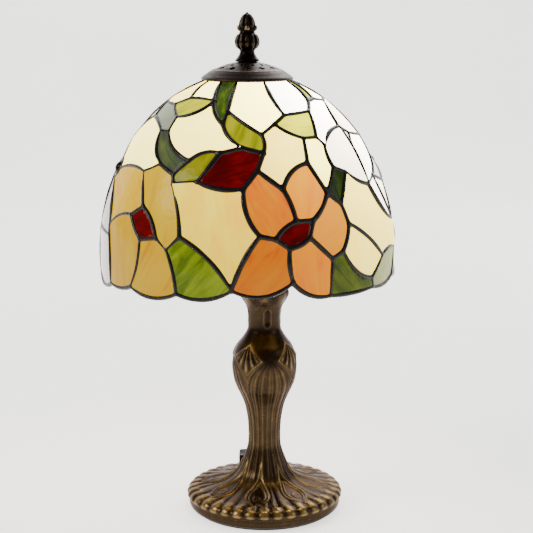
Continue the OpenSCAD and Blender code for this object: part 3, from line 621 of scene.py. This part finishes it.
def solder_tubes():
    """An oval tube along every line and a rounded blob at every spot, to be melted together.

    Section: centre + side (w/2) cos(t) + up (crest) sin(t), with the width and crest wandering a little.
    """
    mould = bpy.context.scene.lamp_mould
    lines = lines_of_shade()
    flat = np.stack([line_points(a, b, half, 12) for a, b, half in lines])
    width = np.array([line_width(a, b) for a, b, _ in lines])[:, None]
    centre, up = mould_point(flat, 0.0), mould_normal(flat)
    along = np.gradient(centre, axis=1)
    along /= np.linalg.norm(along, axis=-1, keepdims=True)
    side = np.cross(up, along)
    width = width * (1 + 0.10 * wobble(centre, 5.0, 0.6))
    crest = mould.crest * (1 + 0.07 * wobble(centre, 6.5, 2.1))
    t = np.arange(14) * (2 * math.pi / 14)
    tubes = (centre[:, :, None] + side[:, :, None] * (width[..., None] / 2 * np.cos(t))[..., None]
             + up[:, :, None] * (crest[..., None] * np.sin(t))[..., None])
    count, rows, columns = tubes.shape[:3]
    walls = ring_faces(rows, columns)[:, ::-1][None] + (np.arange(count) * rows * columns)[:, None, None]
    ends = np.arange(columns)[None] + (np.arange(count) * rows * columns)[:, None]
    points = [tubes.reshape(-1, 3)]
    faces = [walls.reshape(-1, 4), ends, (ends + (rows - 1) * columns)[:, ::-1]]
    widest = {}
    for a, b, half in lines:
        for i in (a, b):
            key = (i % 100, (i // 100 + half) % 2)
            widest[key] = max(widest.get(key, 0), line_width(a, b))
    spots = np.array([spot(i, half) for i, half in widest])
    size = np.array(list(widest.values()))[:, None, None]
    ball, ball_faces = round_ball(10, 14)
    centre, east, north, up = mould_frame(spots, 0.0)
    across = (east * ball[:, :1] + north * ball[:, 1:2]) * size * 0.62
    blobs = centre + across + up * ball[:, 2:] * mould.crest * 1.06
    base = len(points[0])
    shift = (np.arange(len(spots)) * len(ball) + base)[:, None, None]
    points.append(blobs.reshape(-1, 3))
    faces += [(f[None] + shift).reshape(-1, f.shape[1]) for f in ball_faces]
    return np.vstack(points), faces


def round_ball(rows, columns):
    """A unit ball: rings at even polar angles, closed by a fan at each pole."""
    polar = np.arange(1, rows) * (math.pi / rows)
    angle = np.arange(columns) * (2 * math.pi / columns)
    rings = np.stack([
        np.sin(polar)[:, None] * np.cos(angle), np.sin(polar)[:, None] * np.sin(angle),
        np.cos(polar)[:, None] + 0 * angle], axis=-1).reshape(-1, 3)
    points = np.vstack([rings, [[0, 0, 1], [0, 0, -1]]])
    top, low, j = len(rings), len(rings) + 1, np.arange(columns)
    last = (rows - 2) * columns
    caps = np.vstack([
        np.stack([0 * j + top, j, (j + 1) % columns], axis=1),
        np.stack([0 * j + low, last + (j + 1) % columns, last + j], axis=1)])
    return points, [ring_faces(rows - 1, columns)[:, ::-1], caps]


def jewel_balls():
    """A pressed glass jewel on each half: a ball flattened against the mould, set in its solder."""
    wide, tall = 4.3, 3.4
    spots = np.array([ring(PANES["jewel"][0][0], half).mean(axis=0) for half in (0, 1)])
    centre, east, north, up = mould_frame(spots, 0.6 * MM)
    ball, ball_faces = round_ball(24, 36)
    across = (east * ball[:, :1] + north * ball[:, 1:2]) * wide * MM
    points = centre + across + up * ball[:, 2:] * tall * MM
    shift = (np.arange(2) * len(ball))[:, None, None]
    return points.reshape(-1, 3), [(f[None] + shift).reshape(-1, f.shape[1]) for f in ball_faces]


def pane_mesh(ids, half, streak, lift, seed):
    """One pane: a fine net over its outline, laid about halfway between the mould and its own flat plane.

    Returns points, triangles, walls, and for each point its grain (millimetres along and across the
    streaks, and a number of the pane's own) and its glow, the bulb's light painted on the glass, which lift
    multiplies.
    """
    mould = bpy.context.scene.lamp_mould
    outline = ring(ids, half)
    k = math.cos(math.radians(outline[:, 1].mean()))
    scale = np.array([k, 1.0])
    flat = outline * scale
    low, high = flat.min(axis=0), flat.max(axis=0)
    pitch = 1.25
    gx, gy = np.meshgrid(np.arange(low[0], high[0], pitch), np.arange(low[1], high[1], pitch * 0.87))
    gx[1::2] += pitch / 2
    inner = np.stack([gx.ravel(), gy.ravel()], axis=1)
    a, b = flat, np.roll(flat, -1, axis=0)
    d = b - a
    t = np.clip(((inner[:, None] - a) * d).sum(-1) / np.maximum((d * d).sum(-1), 1e-12), 0, 1)
    gap = np.linalg.norm(inner[:, None] - (a + d * t[..., None]), axis=-1).min(axis=1)
    inner = inner[gap > pitch * 0.45]
    n = len(flat)
    rim = [(i, (i + 1) % n) for i in range(n)]
    net = delaunay_2d_cdt([Vector(p) for p in np.vstack([flat, inner])], rim, [list(range(n))], 1, 1e-6)
    flat = np.array([tuple(p) for p in net[0]])
    triangles = np.array(net[2])
    u, v = flat[triangles[:, 1]] - flat[triangles[:, 0]], flat[triangles[:, 2]] - flat[triangles[:, 0]]
    turned_over = u[:, 0] * v[:, 1] - u[:, 1] * v[:, 0] < 0
    triangles[turned_over] = triangles[turned_over][:, ::-1]
    lonlat = flat / scale
    centre, up = mould_point(lonlat, 0.0), mould_normal(lonlat)
    middle = centre.mean(axis=0)
    axis = up.mean(axis=0)
    axis /= np.linalg.norm(axis)
    flattening = 0.45
    centre = centre - flattening * ((centre - middle) @ axis)[:, None] * axis
    ripple = 0.05 * MM * wobble(centre, 5.0, seed)[:, None]
    thick = mould.glass / 2
    points = np.vstack([centre + up * (thick + ripple), centre - up * thick])
    count = len(flat)
    rims = np.concatenate([triangles[:, [0, 1]], triangles[:, [1, 2]], triangles[:, [2, 0]]])
    codes = rims[:, 0] * count + rims[:, 1]
    rims = rims[~np.isin(codes, rims[:, 1] * count + rims[:, 0])]
    walls = np.stack([rims[:, 0], rims[:, 0] + count, rims[:, 1] + count, rims[:, 1]], axis=1)
    faces = np.vstack([triangles, triangles[:, ::-1] + count])
    east = np.cross([0.0, 0.0, 1.0], axis)
    east /= np.linalg.norm(east)
    north = np.cross(axis, east)
    turn = math.radians(streak)
    local = np.stack([(centre - middle) @ east, (centre - middle) @ north], axis=1) / MM
    grain = np.stack([local @ [math.cos(turn), math.sin(turn)], local @ [-math.sin(turn), math.cos(turn)],
                      np.full(count, seed * 7.3)], axis=1)
    return points, faces, walls, np.vstack([grain, grain]), np.tile(lift * painted_bulb_glow(centre, up, seed), 2)


def painted_bulb_glow(points, up, seed):
    """Painted glow: how bright the bulb's light is painted on the glass, 0.35 + 0.65 cos(fall) (reach /
    distance)^2 from its waist.

    The 0.35 is painted light for what the milky glass scatters evenly, and each pane differs by up to 6 %.
    """
    reach = 0.085
    bulb = np.array([BULB_X, 0.0, float(BULB_LOW[2]) * 0.4 + float(BULB_HIGH[2]) * 0.6])
    # Painted light: the bulb's light on the opaque glass is painted by this falloff, then used as emission
    ray = points - bulb
    far = np.linalg.norm(ray, axis=1)
    direct = np.clip((ray * up).sum(axis=1) / far, 0.1, 1) * (reach / far) ** 2
    return (0.35 + 0.65 * direct) * (1 + 0.06 * math.sin(seed * 2.4))


class LAMP_OT_glass(bpy.types.Operator):
    """Build the panes, a piece for each common kind of glass on each half and one for each rare kind"""

    bl_idname = "lamp.glass"
    bl_label = "Panes"

    def execute(self, context):
        names = {
            "cream": "cream_glass", "white": "white_glass", "orange": "orange_petals",
            "yellow": "yellow_petals", "lime": "lime_leaves", "green": "green_leaves", "dark": "dark_leaves"}
        whole = {"grey": "grey_glass", "heart": "flower_hearts", "bud": "red_buds", "jewel": "glass_jewels"}
        seed = 0
        for kind, group in PANES.items():
            material, slot = opal_glass(kind), f"{kind}_glass"
            jobs = [([0, 1], whole.get(kind))]
            if kind in names:
                jobs = [([half], f"{names[kind]}_{side}") for half, side in enumerate(("front", "back"))]
            for halves, node in jobs:
                if kind == "jewel":
                    new_piece("glass_jewels_balls", *jewel_balls(), material, "shade", slot, [node])
                    continue
                parts, base = [], 0
                for half in halves:
                    for ids, streak, lift, milk in group:
                        seed += 1
                        points, faces, walls, grain, glow = pane_mesh(ids, half, streak, lift, seed)
                        milky = np.full(len(points), milk)
                        parts.append((points, faces + base, walls + base, grain, glow, milky))
                        base += len(points)
                points, faces, walls, *marks = (np.concatenate(x) for x in zip(*parts))
                piece = new_piece(
                    f"{node}_panes", points, [faces, walls], material, "shade", slot, [node], crisp=(1,))
                # The glow attribute holds each pane's painted glow, the bulb's light painted on the glass
                for name, values in zip(("grain", "glow", "milk"), marks):
                    mark(piece, name, values)
        return {"FINISHED"}


class LAMP_OT_solder(bpy.types.Operator):
    """Lay the solder lines, melt them together, and run the bead along the rim"""

    bl_idname = "lamp.solder"
    bl_label = "Solder"

    def execute(self, context):
        material = black_solder()
        points, faces = solder_tubes()
        piece = new_piece("solder_lines", points, faces, material, "shade", "dark_solder", ["solder_lattice"])
        melt = piece.modifiers.new("Melt", "REMESH")
        melt.mode = "VOXEL"
        melt.voxel_size = context.scene.lamp_mould.cell
        melt.use_smooth_shade = True
        settle = piece.modifiers.new("Settle", "SMOOTH")
        settle.factor = 0.5
        settle.iterations = 3
        rim = [*range(7, 16), 107]
        sides, bead, drop = 12, 1.35 * MM, 0.3 * MM
        flat = np.vstack([line_points(a, b, half, 16)[:-1] for half in (0, 1) for a, b in zip(rim, rim[1:])])
        centre = mould_point(flat, 0.0) - np.array([0, 0, drop])
        along = np.roll(centre, -1, axis=0) - np.roll(centre, 1, axis=0)
        along /= np.linalg.norm(along, axis=1, keepdims=True)
        out = mould_normal(flat * [1, 0])
        down = np.cross(out, along)
        radius = bead * (1 + 0.08 * wobble(centre, 7.0, 1.3))[:, None, None]
        t = np.arange(sides)[:, None] * (2 * math.pi / sides)
        tube = centre[:, None] + radius * (out[:, None] * np.cos(t) + down[:, None] * np.sin(t))
        faces = [ring_faces(len(centre), sides, closed_rows=True)]
        new_piece("rim_bead", tube.reshape(-1, 3), faces, material, "shade", "dark_solder", ["rim_wire"])
        return {"FINISHED"}


# ---- Shapes of the castings ----

def casting_relief(angle, r, z):
    """Raised work on the stem and foot, in metres, as a sum of ridges by angle, radius and height.

    Neck: a keyhole in each quarter.  Bulge: four pointed leaves with fanned ribs, and smooth drops between.
    Below each drop ribs start from its tip at x / (1 - e^(-d/9)), so they fan out and then run parallel.
    Foot: eight outlined drops, between furrows that run out to a gadrooned edge.
    """
    zz, rr = z / MM, r / MM
    quarter = np.degrees(wrapped(angle, 4, math.radians(11)))
    leaf = np.degrees(wrapped(angle, 4, math.radians(56)))
    height = np.zeros_like(zz)
    # Keyholes in the neck: an outlined slot with a sunk middle.
    across, up = np.radians(quarter) * rr, zz - 139.5
    slot = np.sqrt(across ** 2 + np.maximum(np.abs(up) - 3.6, 0) ** 2)
    neck = step(zz, 128, 131) * (1 - step(zz, 146, 148))
    height += neck * (0.3 * bell(slot - 2.5, 0.6) - 0.7 * bell(slot, 1.5))
    # Leaves on the bulge: |a|/30 + |z - 112|/9 = 1, sharp above and lost in the ribs below.
    diamond = np.abs(leaf) / 30 + np.where(zz > 112, (zz - 112) / 9.5, (112 - zz) / 11)
    inside = 1 - step(diamond, 0.84, 1.0)
    bulge = step(zz, 96, 101) * (1 - step(zz, 122.5, 124))
    height += bulge * (0.35 + 0.4 * step(zz, 108, 114)) * bell(diamond - 1.0, 0.07)
    fan = np.arctan2(np.radians(leaf) * rr, 123 - zz)
    height += bulge * inside * (0.12 + 0.42 * np.cos(19 * fan) * step(1 - diamond, 0.05, 0.3))
    drop = step(zz, 104, 112) * (1 - step(zz, 128, 137)) * step(diamond, 1.04, 1.4)
    height -= 0.22 * drop
    # Ribs below the drops.
    below = np.maximum(112 - zz, 0.4)
    line = np.radians(quarter / (1 - np.exp(-below / 9)))
    worn = 0.75 + 0.25 * np.sin(3 * angle + 0.8) * np.cos(5 * angle + zz / 40)
    ribs = step(zz, 21, 32) * (1 - step(zz, 104, 113)) * (1 - inside * bulge)
    height += ribs * worn * (
        0.62 * np.abs(np.cos(10 * line)) ** 0.6 + 0.18 * np.cos(40 * line + 2 * np.sin(4 * angle)) - 0.34)
    # Drops on the foot: half their width is 7.8 sin(pi t^1.7)^0.85 for t from the stem to the edge.
    kite = np.degrees(wrapped(angle, 8, math.radians(-8))) * math.pi / 180 * rr
    t = np.clip((rr - 13.5) / (46.0 - 13.5), 0, 1)
    half = 7.8 * np.clip(np.sin(math.pi * t ** 1.7), 0, 1) ** 0.85
    edge = np.abs(kite) - half
    dish = (1 - step(zz, 30, 38)) * step(rr, 11.5, 14) * (1 - step(rr, 46.6, 48))
    height += dish * (0.8 * bell(edge, 0.6) + 0.6 * bell(edge + 2.3, 0.5) * step(half, 2.4, 3.4))
    eye = np.sqrt(kite ** 2 + ((rr - 36.5) / 1.2) ** 2)
    height += dish * (0.4 * bell(eye - 2.1, 0.5) + 0.35 * bell(eye, 0.7))
    # Furrows between the drops, faint at the stem, and the gadroons that they run into.
    outside = step(edge, 0.9, 2.4)
    furrow = np.abs(np.cos(18 * angle + 0.7 * np.sin(8 * angle) + 0.4 * np.sin(3 * angle)))
    depth = step(rr, 14, 30) * (0.4 + 0.6 * step(rr, 36, 47)) * (1 - step(zz, 27, 33))
    height += depth * outside * dish * (0.85 * furrow ** 0.8 - 0.5)
    lobe = np.abs(np.cos(18 * angle))
    gadroon = step(rr, 44.5, 49) * step(zz, 8.4, 10.0)
    height += gadroon * (1.7 * lobe ** 0.5 + 0.8 * bell(lobe, 0.14) - 1.0)
    # The neck's lip has eight soft lobes.
    height += 0.4 * step(zz, 147, 153) * np.cos(8 * angle)
    return height * MM


class LAMP_OT_castings(bpy.types.Operator):
    """Cast the foot and stem, the pierced cap and the finial, with their raised work"""

    bl_idname = "lamp.castings"
    bl_label = "Castings"

    def execute(self, context):
        foot_and_stem()
        pierced_cap()
        finial()
        return {"FINISHED"}


def relief_tone(raised, low_mm, high_mm, worn):
    """0..1 wear: raised work is rubbed bright, and worn adds what the shape itself catches."""
    return np.clip(step(raised / MM, low_mm, high_mm) * 0.6 + worn, 0, 1)


def foot_and_stem():
    """The casting: its outside line turned and raised by casting_relief, closed by its hollow inside."""
    foot, lip = FOOT_R / MM, LIP_Z / MM
    outside = [
        (foot - 5, FELT_Z / MM), (foot - 2.1, 2.6), (foot - 1.2, 5.6), (foot - 1.6, 8.3), (foot - 0.4, 10.6),
        (foot - 2.2, 13.6), (foot - 6, 14.9), (42, 16.4), (34, 18.2), (27, 20.4), (21.4, 23.6), (17.4, 28.4),
        (14.7, 35), (12.2, 42), (11.1, 48), (11, 56), (11.5, 64), (12.8, 72), (14.4, 78), (17, 84),
        (19.4, 89), (21.4, 95), (22.3, 102), (22.3, 109), (21.3, 114.5), (19.3, 119), (17, 122), (14.2, 126),
        (11.9, 130.5), (11.2, 137), (11.6, 143), (12.9, 147), (14.8, 150.5), (16.6, 154), (16.8, 156.5),
        (16.2, lip)]
    inside = [
        (12.5, lip), (12.5, lip - 5), (5.2, lip - 5), (5.2, 142), (7.5, 140), (8.5, 129), (14, 119),
        (18, 108), (18, 98), (14, 85), (9, 69), (7.5, 54), (7.5, 33), (5.2, 31), (5.2, 24), (12, 24),
        (12, 21), (22, 18), (36, 13), (foot - 9, 8), (foot - 9, FELT_Z / MM)]
    outer = even_line(smooth_line(outside, 8), 205) * MM
    columns = 440
    skin, raised = turned(outer, columns, relief=casting_relief)
    hollow, flat = turned(np.array(inside) * MM, columns)
    faces = ring_faces(len(outer) + len(inside), columns, closed_rows=True)
    piece = new_piece("foot_and_stem", np.vstack([skin, hollow]), [faces], antique_bronze(), "base",
                      "antique_bronze", ["foot_casting"])
    tone = relief_tone(raised, -0.55, 0.7, 0.16)
    mark(piece, "relief", np.concatenate([tone, 0 * flat]))


def pierced_cap():
    """The cap: a spun dish, pierced by a ring of large diamonds and a ring of small ones further in."""
    top, edge = CAP_Z / MM, CAP_R / MM
    line = np.array([
        (edge - 1.2, top), (edge, top), (edge + 0.1, top + 1.1), (edge - 0.7, top + 2.2),
        (edge - 2.8, top + 3.6), (edge - 6, top + 5.8), (20, top + 8.1), (13, top + 10.4), (7, top + 11.6),
        (3.4, top + 11.8),
        (3.4, top + 10.6), (7, top + 10.4), (13, top + 9.2), (20, top + 6.9), (edge - 6.3, top + 4.6),
        (edge - 3.4, top + 2.3), (edge - 1.6, top + 1.0)])
    outer = even_line(smooth_line(line[1:10], 8), 90)
    line = np.vstack([line[:1], outer, line[10:]]) * MM

    def hammered(angle, r, z):
        """A raised ring outside the piercings and one inside them, and a faint unevenness from spinning."""
        rr = r / MM
        ring_work = 0.22 * bell(rr - 23.6, 0.7) + 0.18 * bell(rr - 9.3, 0.5)
        return (ring_work + 0.05 * np.sin(5 * angle + rr / 3)) * (z > (CAP_Z + 1.0 * MM)) * MM

    columns = 240
    points, raised = turned(line, columns, RISER_X, hammered)
    faces = ring_faces(len(line), columns, closed_rows=True)
    piece = new_piece(
        "cap_dish", points, [faces], dark_cap_bronze(), "cap", "antique_bronze", ["pierced_cap"])
    mark(piece, "relief", relief_tone(raised, 0.02, 0.25, 0.22))
    cutter = bmesh.new()
    in_ring = 12
    for radius, long, wide, start in ((19.3, 2.3, 2.6, 0.0), (13.8, 1.9, 1.5, 15.0)):
        for k in range(in_ring):
            turn = math.radians(360 / in_ring * k + start)
            shape = [(radius - long, 0), (radius, wide), (radius + long, 0), (radius, -wide)]
            corners = []
            for z in (CAP_Z - 5 * MM, CAP_Z + 20 * MM):
                for u, v in shape:
                    x = RISER_X + (u * math.sin(turn) + v * math.cos(turn)) * MM
                    y = (-u * math.cos(turn) + v * math.sin(turn)) * MM
                    corners.append(cutter.verts.new((x, y, z)))
            for i in range(4):
                j = (i + 1) % 4
                cutter.faces.new((corners[i], corners[j], corners[j + 4], corners[i + 4]))
            cutter.faces.new(corners[3::-1])
            cutter.faces.new(corners[4:])
    bmesh.ops.recalc_face_normals(cutter, faces=cutter.faces)
    knife_mesh = bpy.data.meshes.new("piercings")
    cutter.to_mesh(knife_mesh)
    cutter.free()
    knife = in_scene("piercings", knife_mesh)
    cut = piece.modifiers.new("Pierce", "BOOLEAN")
    cut.operation, cut.solver, cut.object = "DIFFERENCE", "EXACT", knife
    bake_modifiers(piece)
    bpy.data.objects.remove(knife)


def bake_modifiers(piece):
    """Replaces a piece's mesh by what its modifiers make of it."""
    graph = bpy.context.evaluated_depsgraph_get()
    made = bpy.data.meshes.new_from_object(piece.evaluated_get(graph))
    piece.modifiers.clear()
    piece.data = made


def finial():
    """The finial: a flared foot, a ribbed melon, four knobs and a fluted bud."""
    z0 = FINIAL_Z / MM
    line = [
        (7.6, 0), (8.3, 0.5), (8.0, 1.5), (6.6, 3.2), (5.4, 5.2), (5.0, 6.8), (5.6, 8.2), (7.4, 10.4),
        (8.1, 12.8), (7.7, 15.4), (6.4, 17.8), (5.4, 19.2), (4.9, 20.8), (4.9, 22.8), (5.3, 24.2),
        (5.0, 26.2), (4.0, 28.8), (2.4, 31.0), (1.1, 32.0), (0.9, 32.7)]
    profile = (even_line(smooth_line(line, 8), 130) + [0, z0]) * MM
    columns = 160

    def fluted(angle, r, z):
        """Melon ribs |cos 6a|, bud flutes |cos 4a|, and four knobs at the waist between them."""
        h = z / MM - z0
        melon = step(h, 7.4, 9.4) * (1 - step(h, 17.4, 18.8))
        bud = step(h, 22.6, 24.4) * (1 - step(h, 30.8, 32.2))
        around = np.degrees(wrapped(angle, 4, 0.0)) * math.pi / 180 * 6.0
        knob = np.sqrt(np.maximum(1 - (around ** 2 + (h - 22.2) ** 2) / 2.1 ** 2, 0)) * 2.0
        ribs = melon * (1.15 * np.abs(np.cos(6 * angle)) ** 0.6 - 0.75)
        flutes = bud * (0.7 * np.abs(np.cos(4 * angle)) ** 0.7 - 0.35)
        return (ribs + flutes + knob) * MM

    points, raised = turned(profile, columns, RISER_X, fluted)
    low, high = len(points), len(points) + 1
    ends = np.array([[RISER_X, 0, profile[0, 1]], [RISER_X, 0, profile[-1, 1] + 0.2 * MM]])
    j = np.arange(columns)
    last = (len(profile) - 1) * columns
    fans = np.vstack([
        np.stack([0 * j + low, (j + 1) % columns, j], axis=1),
        np.stack([0 * j + high, last + j, last + (j + 1) % columns], axis=1)])
    piece = new_piece("finial_casting", np.vstack([points, ends]), [ring_faces(len(profile), columns), fans],
                      finial_bronze(), "finial", "antique_bronze", ["finial"])
    mark(piece, "relief", np.concatenate([relief_tone(raised, -0.3, 0.7, 0.05), [0.2, 0.5]]))


# ---- The rest, the stage and the run ----

class LAMP_OT_fittings(bpy.types.Operator):
    """Give each fitting that shows as the frame has it its own finish"""

    bl_idname = "lamp.fittings"
    bl_label = "Fittings"

    def execute(self, context):
        brass = plain_metal("Turned brass", ("#7A5A22", "#A98236", "#C8A456"), 0.28, 0.5)
        aged = plain_metal("Aged brass", ("#3E2C14", "#65491F", "#8A6A34"), 0.38, 0.7)
        zinc = plain_metal("Zinc-plated steel", ("#6E7074", "#8E9094", "#AEB0B2"), 0.34, 0.4)
        base_metal = plain_metal("Drawn aluminium", ("#9A9A9C", "#B4B4B6", "#CCCCCC"), 0.3, 0.4)
        tungsten = plain_metal("Support wire", ("#55565A", "#7A7B80", "#9A9BA0"), 0.4, 0.3)
        blacked = plain_metal("Blackened steel", ("#0A0A0B", "#141416", "#202022"), 0.45, 0.4)
        black = moulded("Moulded black phenolic", ("#040405", "#08080A", "#0D0D0F"), 0.5, 0.5, IOR=1.55,
                        Specular_IOR_Level=0.05)
        rocker = moulded("Satin black nylon", ("#050506", "#09090B", "#0F0F12"), 0.4, 0.7, 0.015, IOR=1.53,
                         Specular_IOR_Level=0.05)
        rubber = moulded("Moulded rubber", ("#08080A", "#0E0E10", "#161618"), 0.7, 0.6)
        felt = moulded("Wool felt", ("#0C120E", "#161E18", "#222C24"), 0.95, 0.8, 0.25, Sheen_Weight=0.4)
        card = moulded("Waxed card", ("#7C6038", "#A08050", "#BC9C68"), 0.8, 0.7, 0.06)
        brown = moulded("Brown wire sleeve", ("#2C120A", "#401C10", "#5A2A18"), 0.45, 0.6)
        blue = moulded("Blue wire sleeve", ("#0A1A40", "#12285C", "#203C7C"), 0.45, 0.6)
        looks = {
            brass: ["pipe_nuts", "riser_nut", "seat_nut", "socket_cap", "socket_shell", "screw_shell",
                    "centre_contact", "terminal_screws", "switch_contacts", "crown_ring", "finial_bush"],
            aged: ["neck_spacer", "strap_bracket", "riser_rod", "shade_spider"],
            zinc: ["bottom_plate", "stem_pipe", "pipe_washers", "seat_washer", "socket_nipple", "rocker_pin"],
            blacked: ["housing_screws"], base_metal: ["bulb_base"], tungsten: ["bulb_filament"],
            black: ["socket_body", "bulb_insulator", "switch_housing"],
            rocker: ["switch_rocker"], rubber: ["cord_bushing"], felt: ["felt_pad"], card: ["socket_liner"],
            brown: ["live_wire"], blue: ["neutral_wire"], lit_bulb_glass(): ["bulb_glass"]}
        for material, nodes in looks.items():
            for node in nodes:
                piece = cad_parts[node]
                piece.data.materials.clear()
                piece.data.materials.append(material)
        return {"FINISHED"}


class LAMP_OT_stage(bpy.types.Operator):
    """Set out the pale floor, the soft lights and the camera"""

    bl_idname = "lamp.stage"
    bl_label = "Stage"

    def execute(self, context):
        finish = context.scene.lamp_finish
        # The floor runs back from y -1.6 to 1.4, curves up by a quarter round of 0.6, and stands behind.
        bend = np.linspace(0.05, math.pi / 2, 20)
        t = np.linspace(-1, 1, 60)
        s = np.concatenate([np.linspace(-1.6, 1.4, 30), 1.4 + 0.6 * np.sin(bend), np.full(10, 2.0)])
        rise = np.concatenate([np.zeros(30), 0.6 - 0.6 * np.cos(bend), np.linspace(0.7, 2.4, 10)])
        x, y = np.meshgrid(3.2 * t, s)
        z = np.repeat(rise[:, None], len(t), axis=1)
        points = np.stack([x, y, z], axis=-1).reshape(-1, 3)
        i, j = np.meshgrid(np.arange(len(s) - 1), np.arange(len(t) - 1), indexing="ij")
        a = (i * len(t) + j).ravel()
        faces = np.stack([a, a + 1, a + 1 + len(t), a + len(t)], axis=1)
        paper, tree, shader = new_material("Matt white paper", Roughness=0.9, Emission_Strength=1.6)
        stops = [(0.3, "#F4F3F1"), (0.55, "#F7F6F4"), (0.8, "#FAF9F8")]
        tone = ramp(tree, noise(tree, place(tree), 300.0, 2.0), stops)
        tree.links.new(tone, shader.inputs["Base Color"])
        tree.links.new(tone, shader.inputs["Emission Color"])
        mesh = bpy.data.meshes.new("floor")
        mesh.from_pydata(points.tolist(), [], faces.tolist())
        mesh.polygons.foreach_set("use_smooth", np.ones(len(faces), dtype=bool))
        mesh.materials.append(paper)
        in_scene("floor", mesh)

        world = bpy.data.worlds.new("Soft room")
        world.use_nodes = True
        background = world.node_tree.nodes["Background"]
        background.inputs["Color"].default_value = linear("#FFFFFF")
        background.inputs["Strength"].default_value = 0.45
        context.scene.world = world

        def soft_box(name, at, height, size, watts, tint):
            """A square area light, turned to face the lamp's axis at the given height."""
            light = bpy.data.lights.new(name, "AREA")
            light.shape, light.size, light.energy, light.color = "SQUARE", size, watts, linear(tint)[:3]
            holder = in_scene(name, light)
            holder.location = at
            holder.rotation_euler = (Vector((0, 0, height)) - Vector(at)).to_track_quat("-Z", "Y").to_euler()

        soft_box("Key", (-1.3, -0.6, 1.0), 0.15, 0.7, finish.key_watts, "#FFF8F0")
        soft_box("Fill", (1.3, -0.5, 0.7), 0.15, 0.8, 0.4 * finish.fill_watts, "#F4F7FF")
        soft_box("Rear", (0.5, 1.1, 1.3), 0.2, 0.9, finish.fill_watts, "#FFFFFF")
        bulb = bpy.data.lights.new("Bulb", "POINT")
        bulb.energy, bulb.color, bulb.shadow_soft_size = finish.lamp_watts, linear("#FFDCA8")[:3], 0.015
        in_scene("Bulb", bulb).location = (BULB_X, 0, float(BULB_HIGH[2]) + 0.006)

        view = bpy.data.cameras.new("View")
        view.lens, view.sensor_width = LENS, SENSOR
        view.clip_start, view.clip_end = 0.02, 20
        camera = in_scene("View", view)
        camera.location = CAMERA_AT
        camera.rotation_euler = (math.radians(90 - CAMERA_DIP), 0, 0)
        context.scene.camera = camera
        return {"FINISHED"}


class LAMP_PT_panel(bpy.types.Panel):
    """Lists the lamp's sizes, finishes and steps"""

    bl_idname = "LAMP_PT_panel"
    bl_label = "Leaded glass lamp"
    bl_space_type = "VIEW_3D"
    bl_region_type = "UI"
    bl_category = "Lamp"

    def draw(self, context):
        for group in (context.scene.lamp_mould, context.scene.lamp_finish):
            for key in group.__annotations__:
                self.layout.prop(group, key)
        for step_class in STEPS:
            self.layout.operator(step_class.bl_idname)


STEPS = [LAMP_OT_stage, LAMP_OT_fittings, LAMP_OT_castings, LAMP_OT_solder, LAMP_OT_glass]
CLASSES = [MouldSettings, FinishSettings, *STEPS, LAMP_PT_panel]


def register():
    for item in CLASSES:
        bpy.utils.register_class(item)
    bpy.types.Scene.lamp_mould = PointerProperty(type=MouldSettings)
    bpy.types.Scene.lamp_finish = PointerProperty(type=FinishSettings)


def unregister():
    del bpy.types.Scene.lamp_finish
    del bpy.types.Scene.lamp_mould
    for item in reversed(CLASSES):
        bpy.utils.unregister_class(item)


def main():
    """Registers everything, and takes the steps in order."""
    register()
    bpy.ops.lamp.stage()
    bpy.ops.lamp.fittings()
    bpy.ops.lamp.castings()
    bpy.ops.lamp.solder()
    bpy.ops.lamp.glass()


if __name__ == "__main__":
    main()
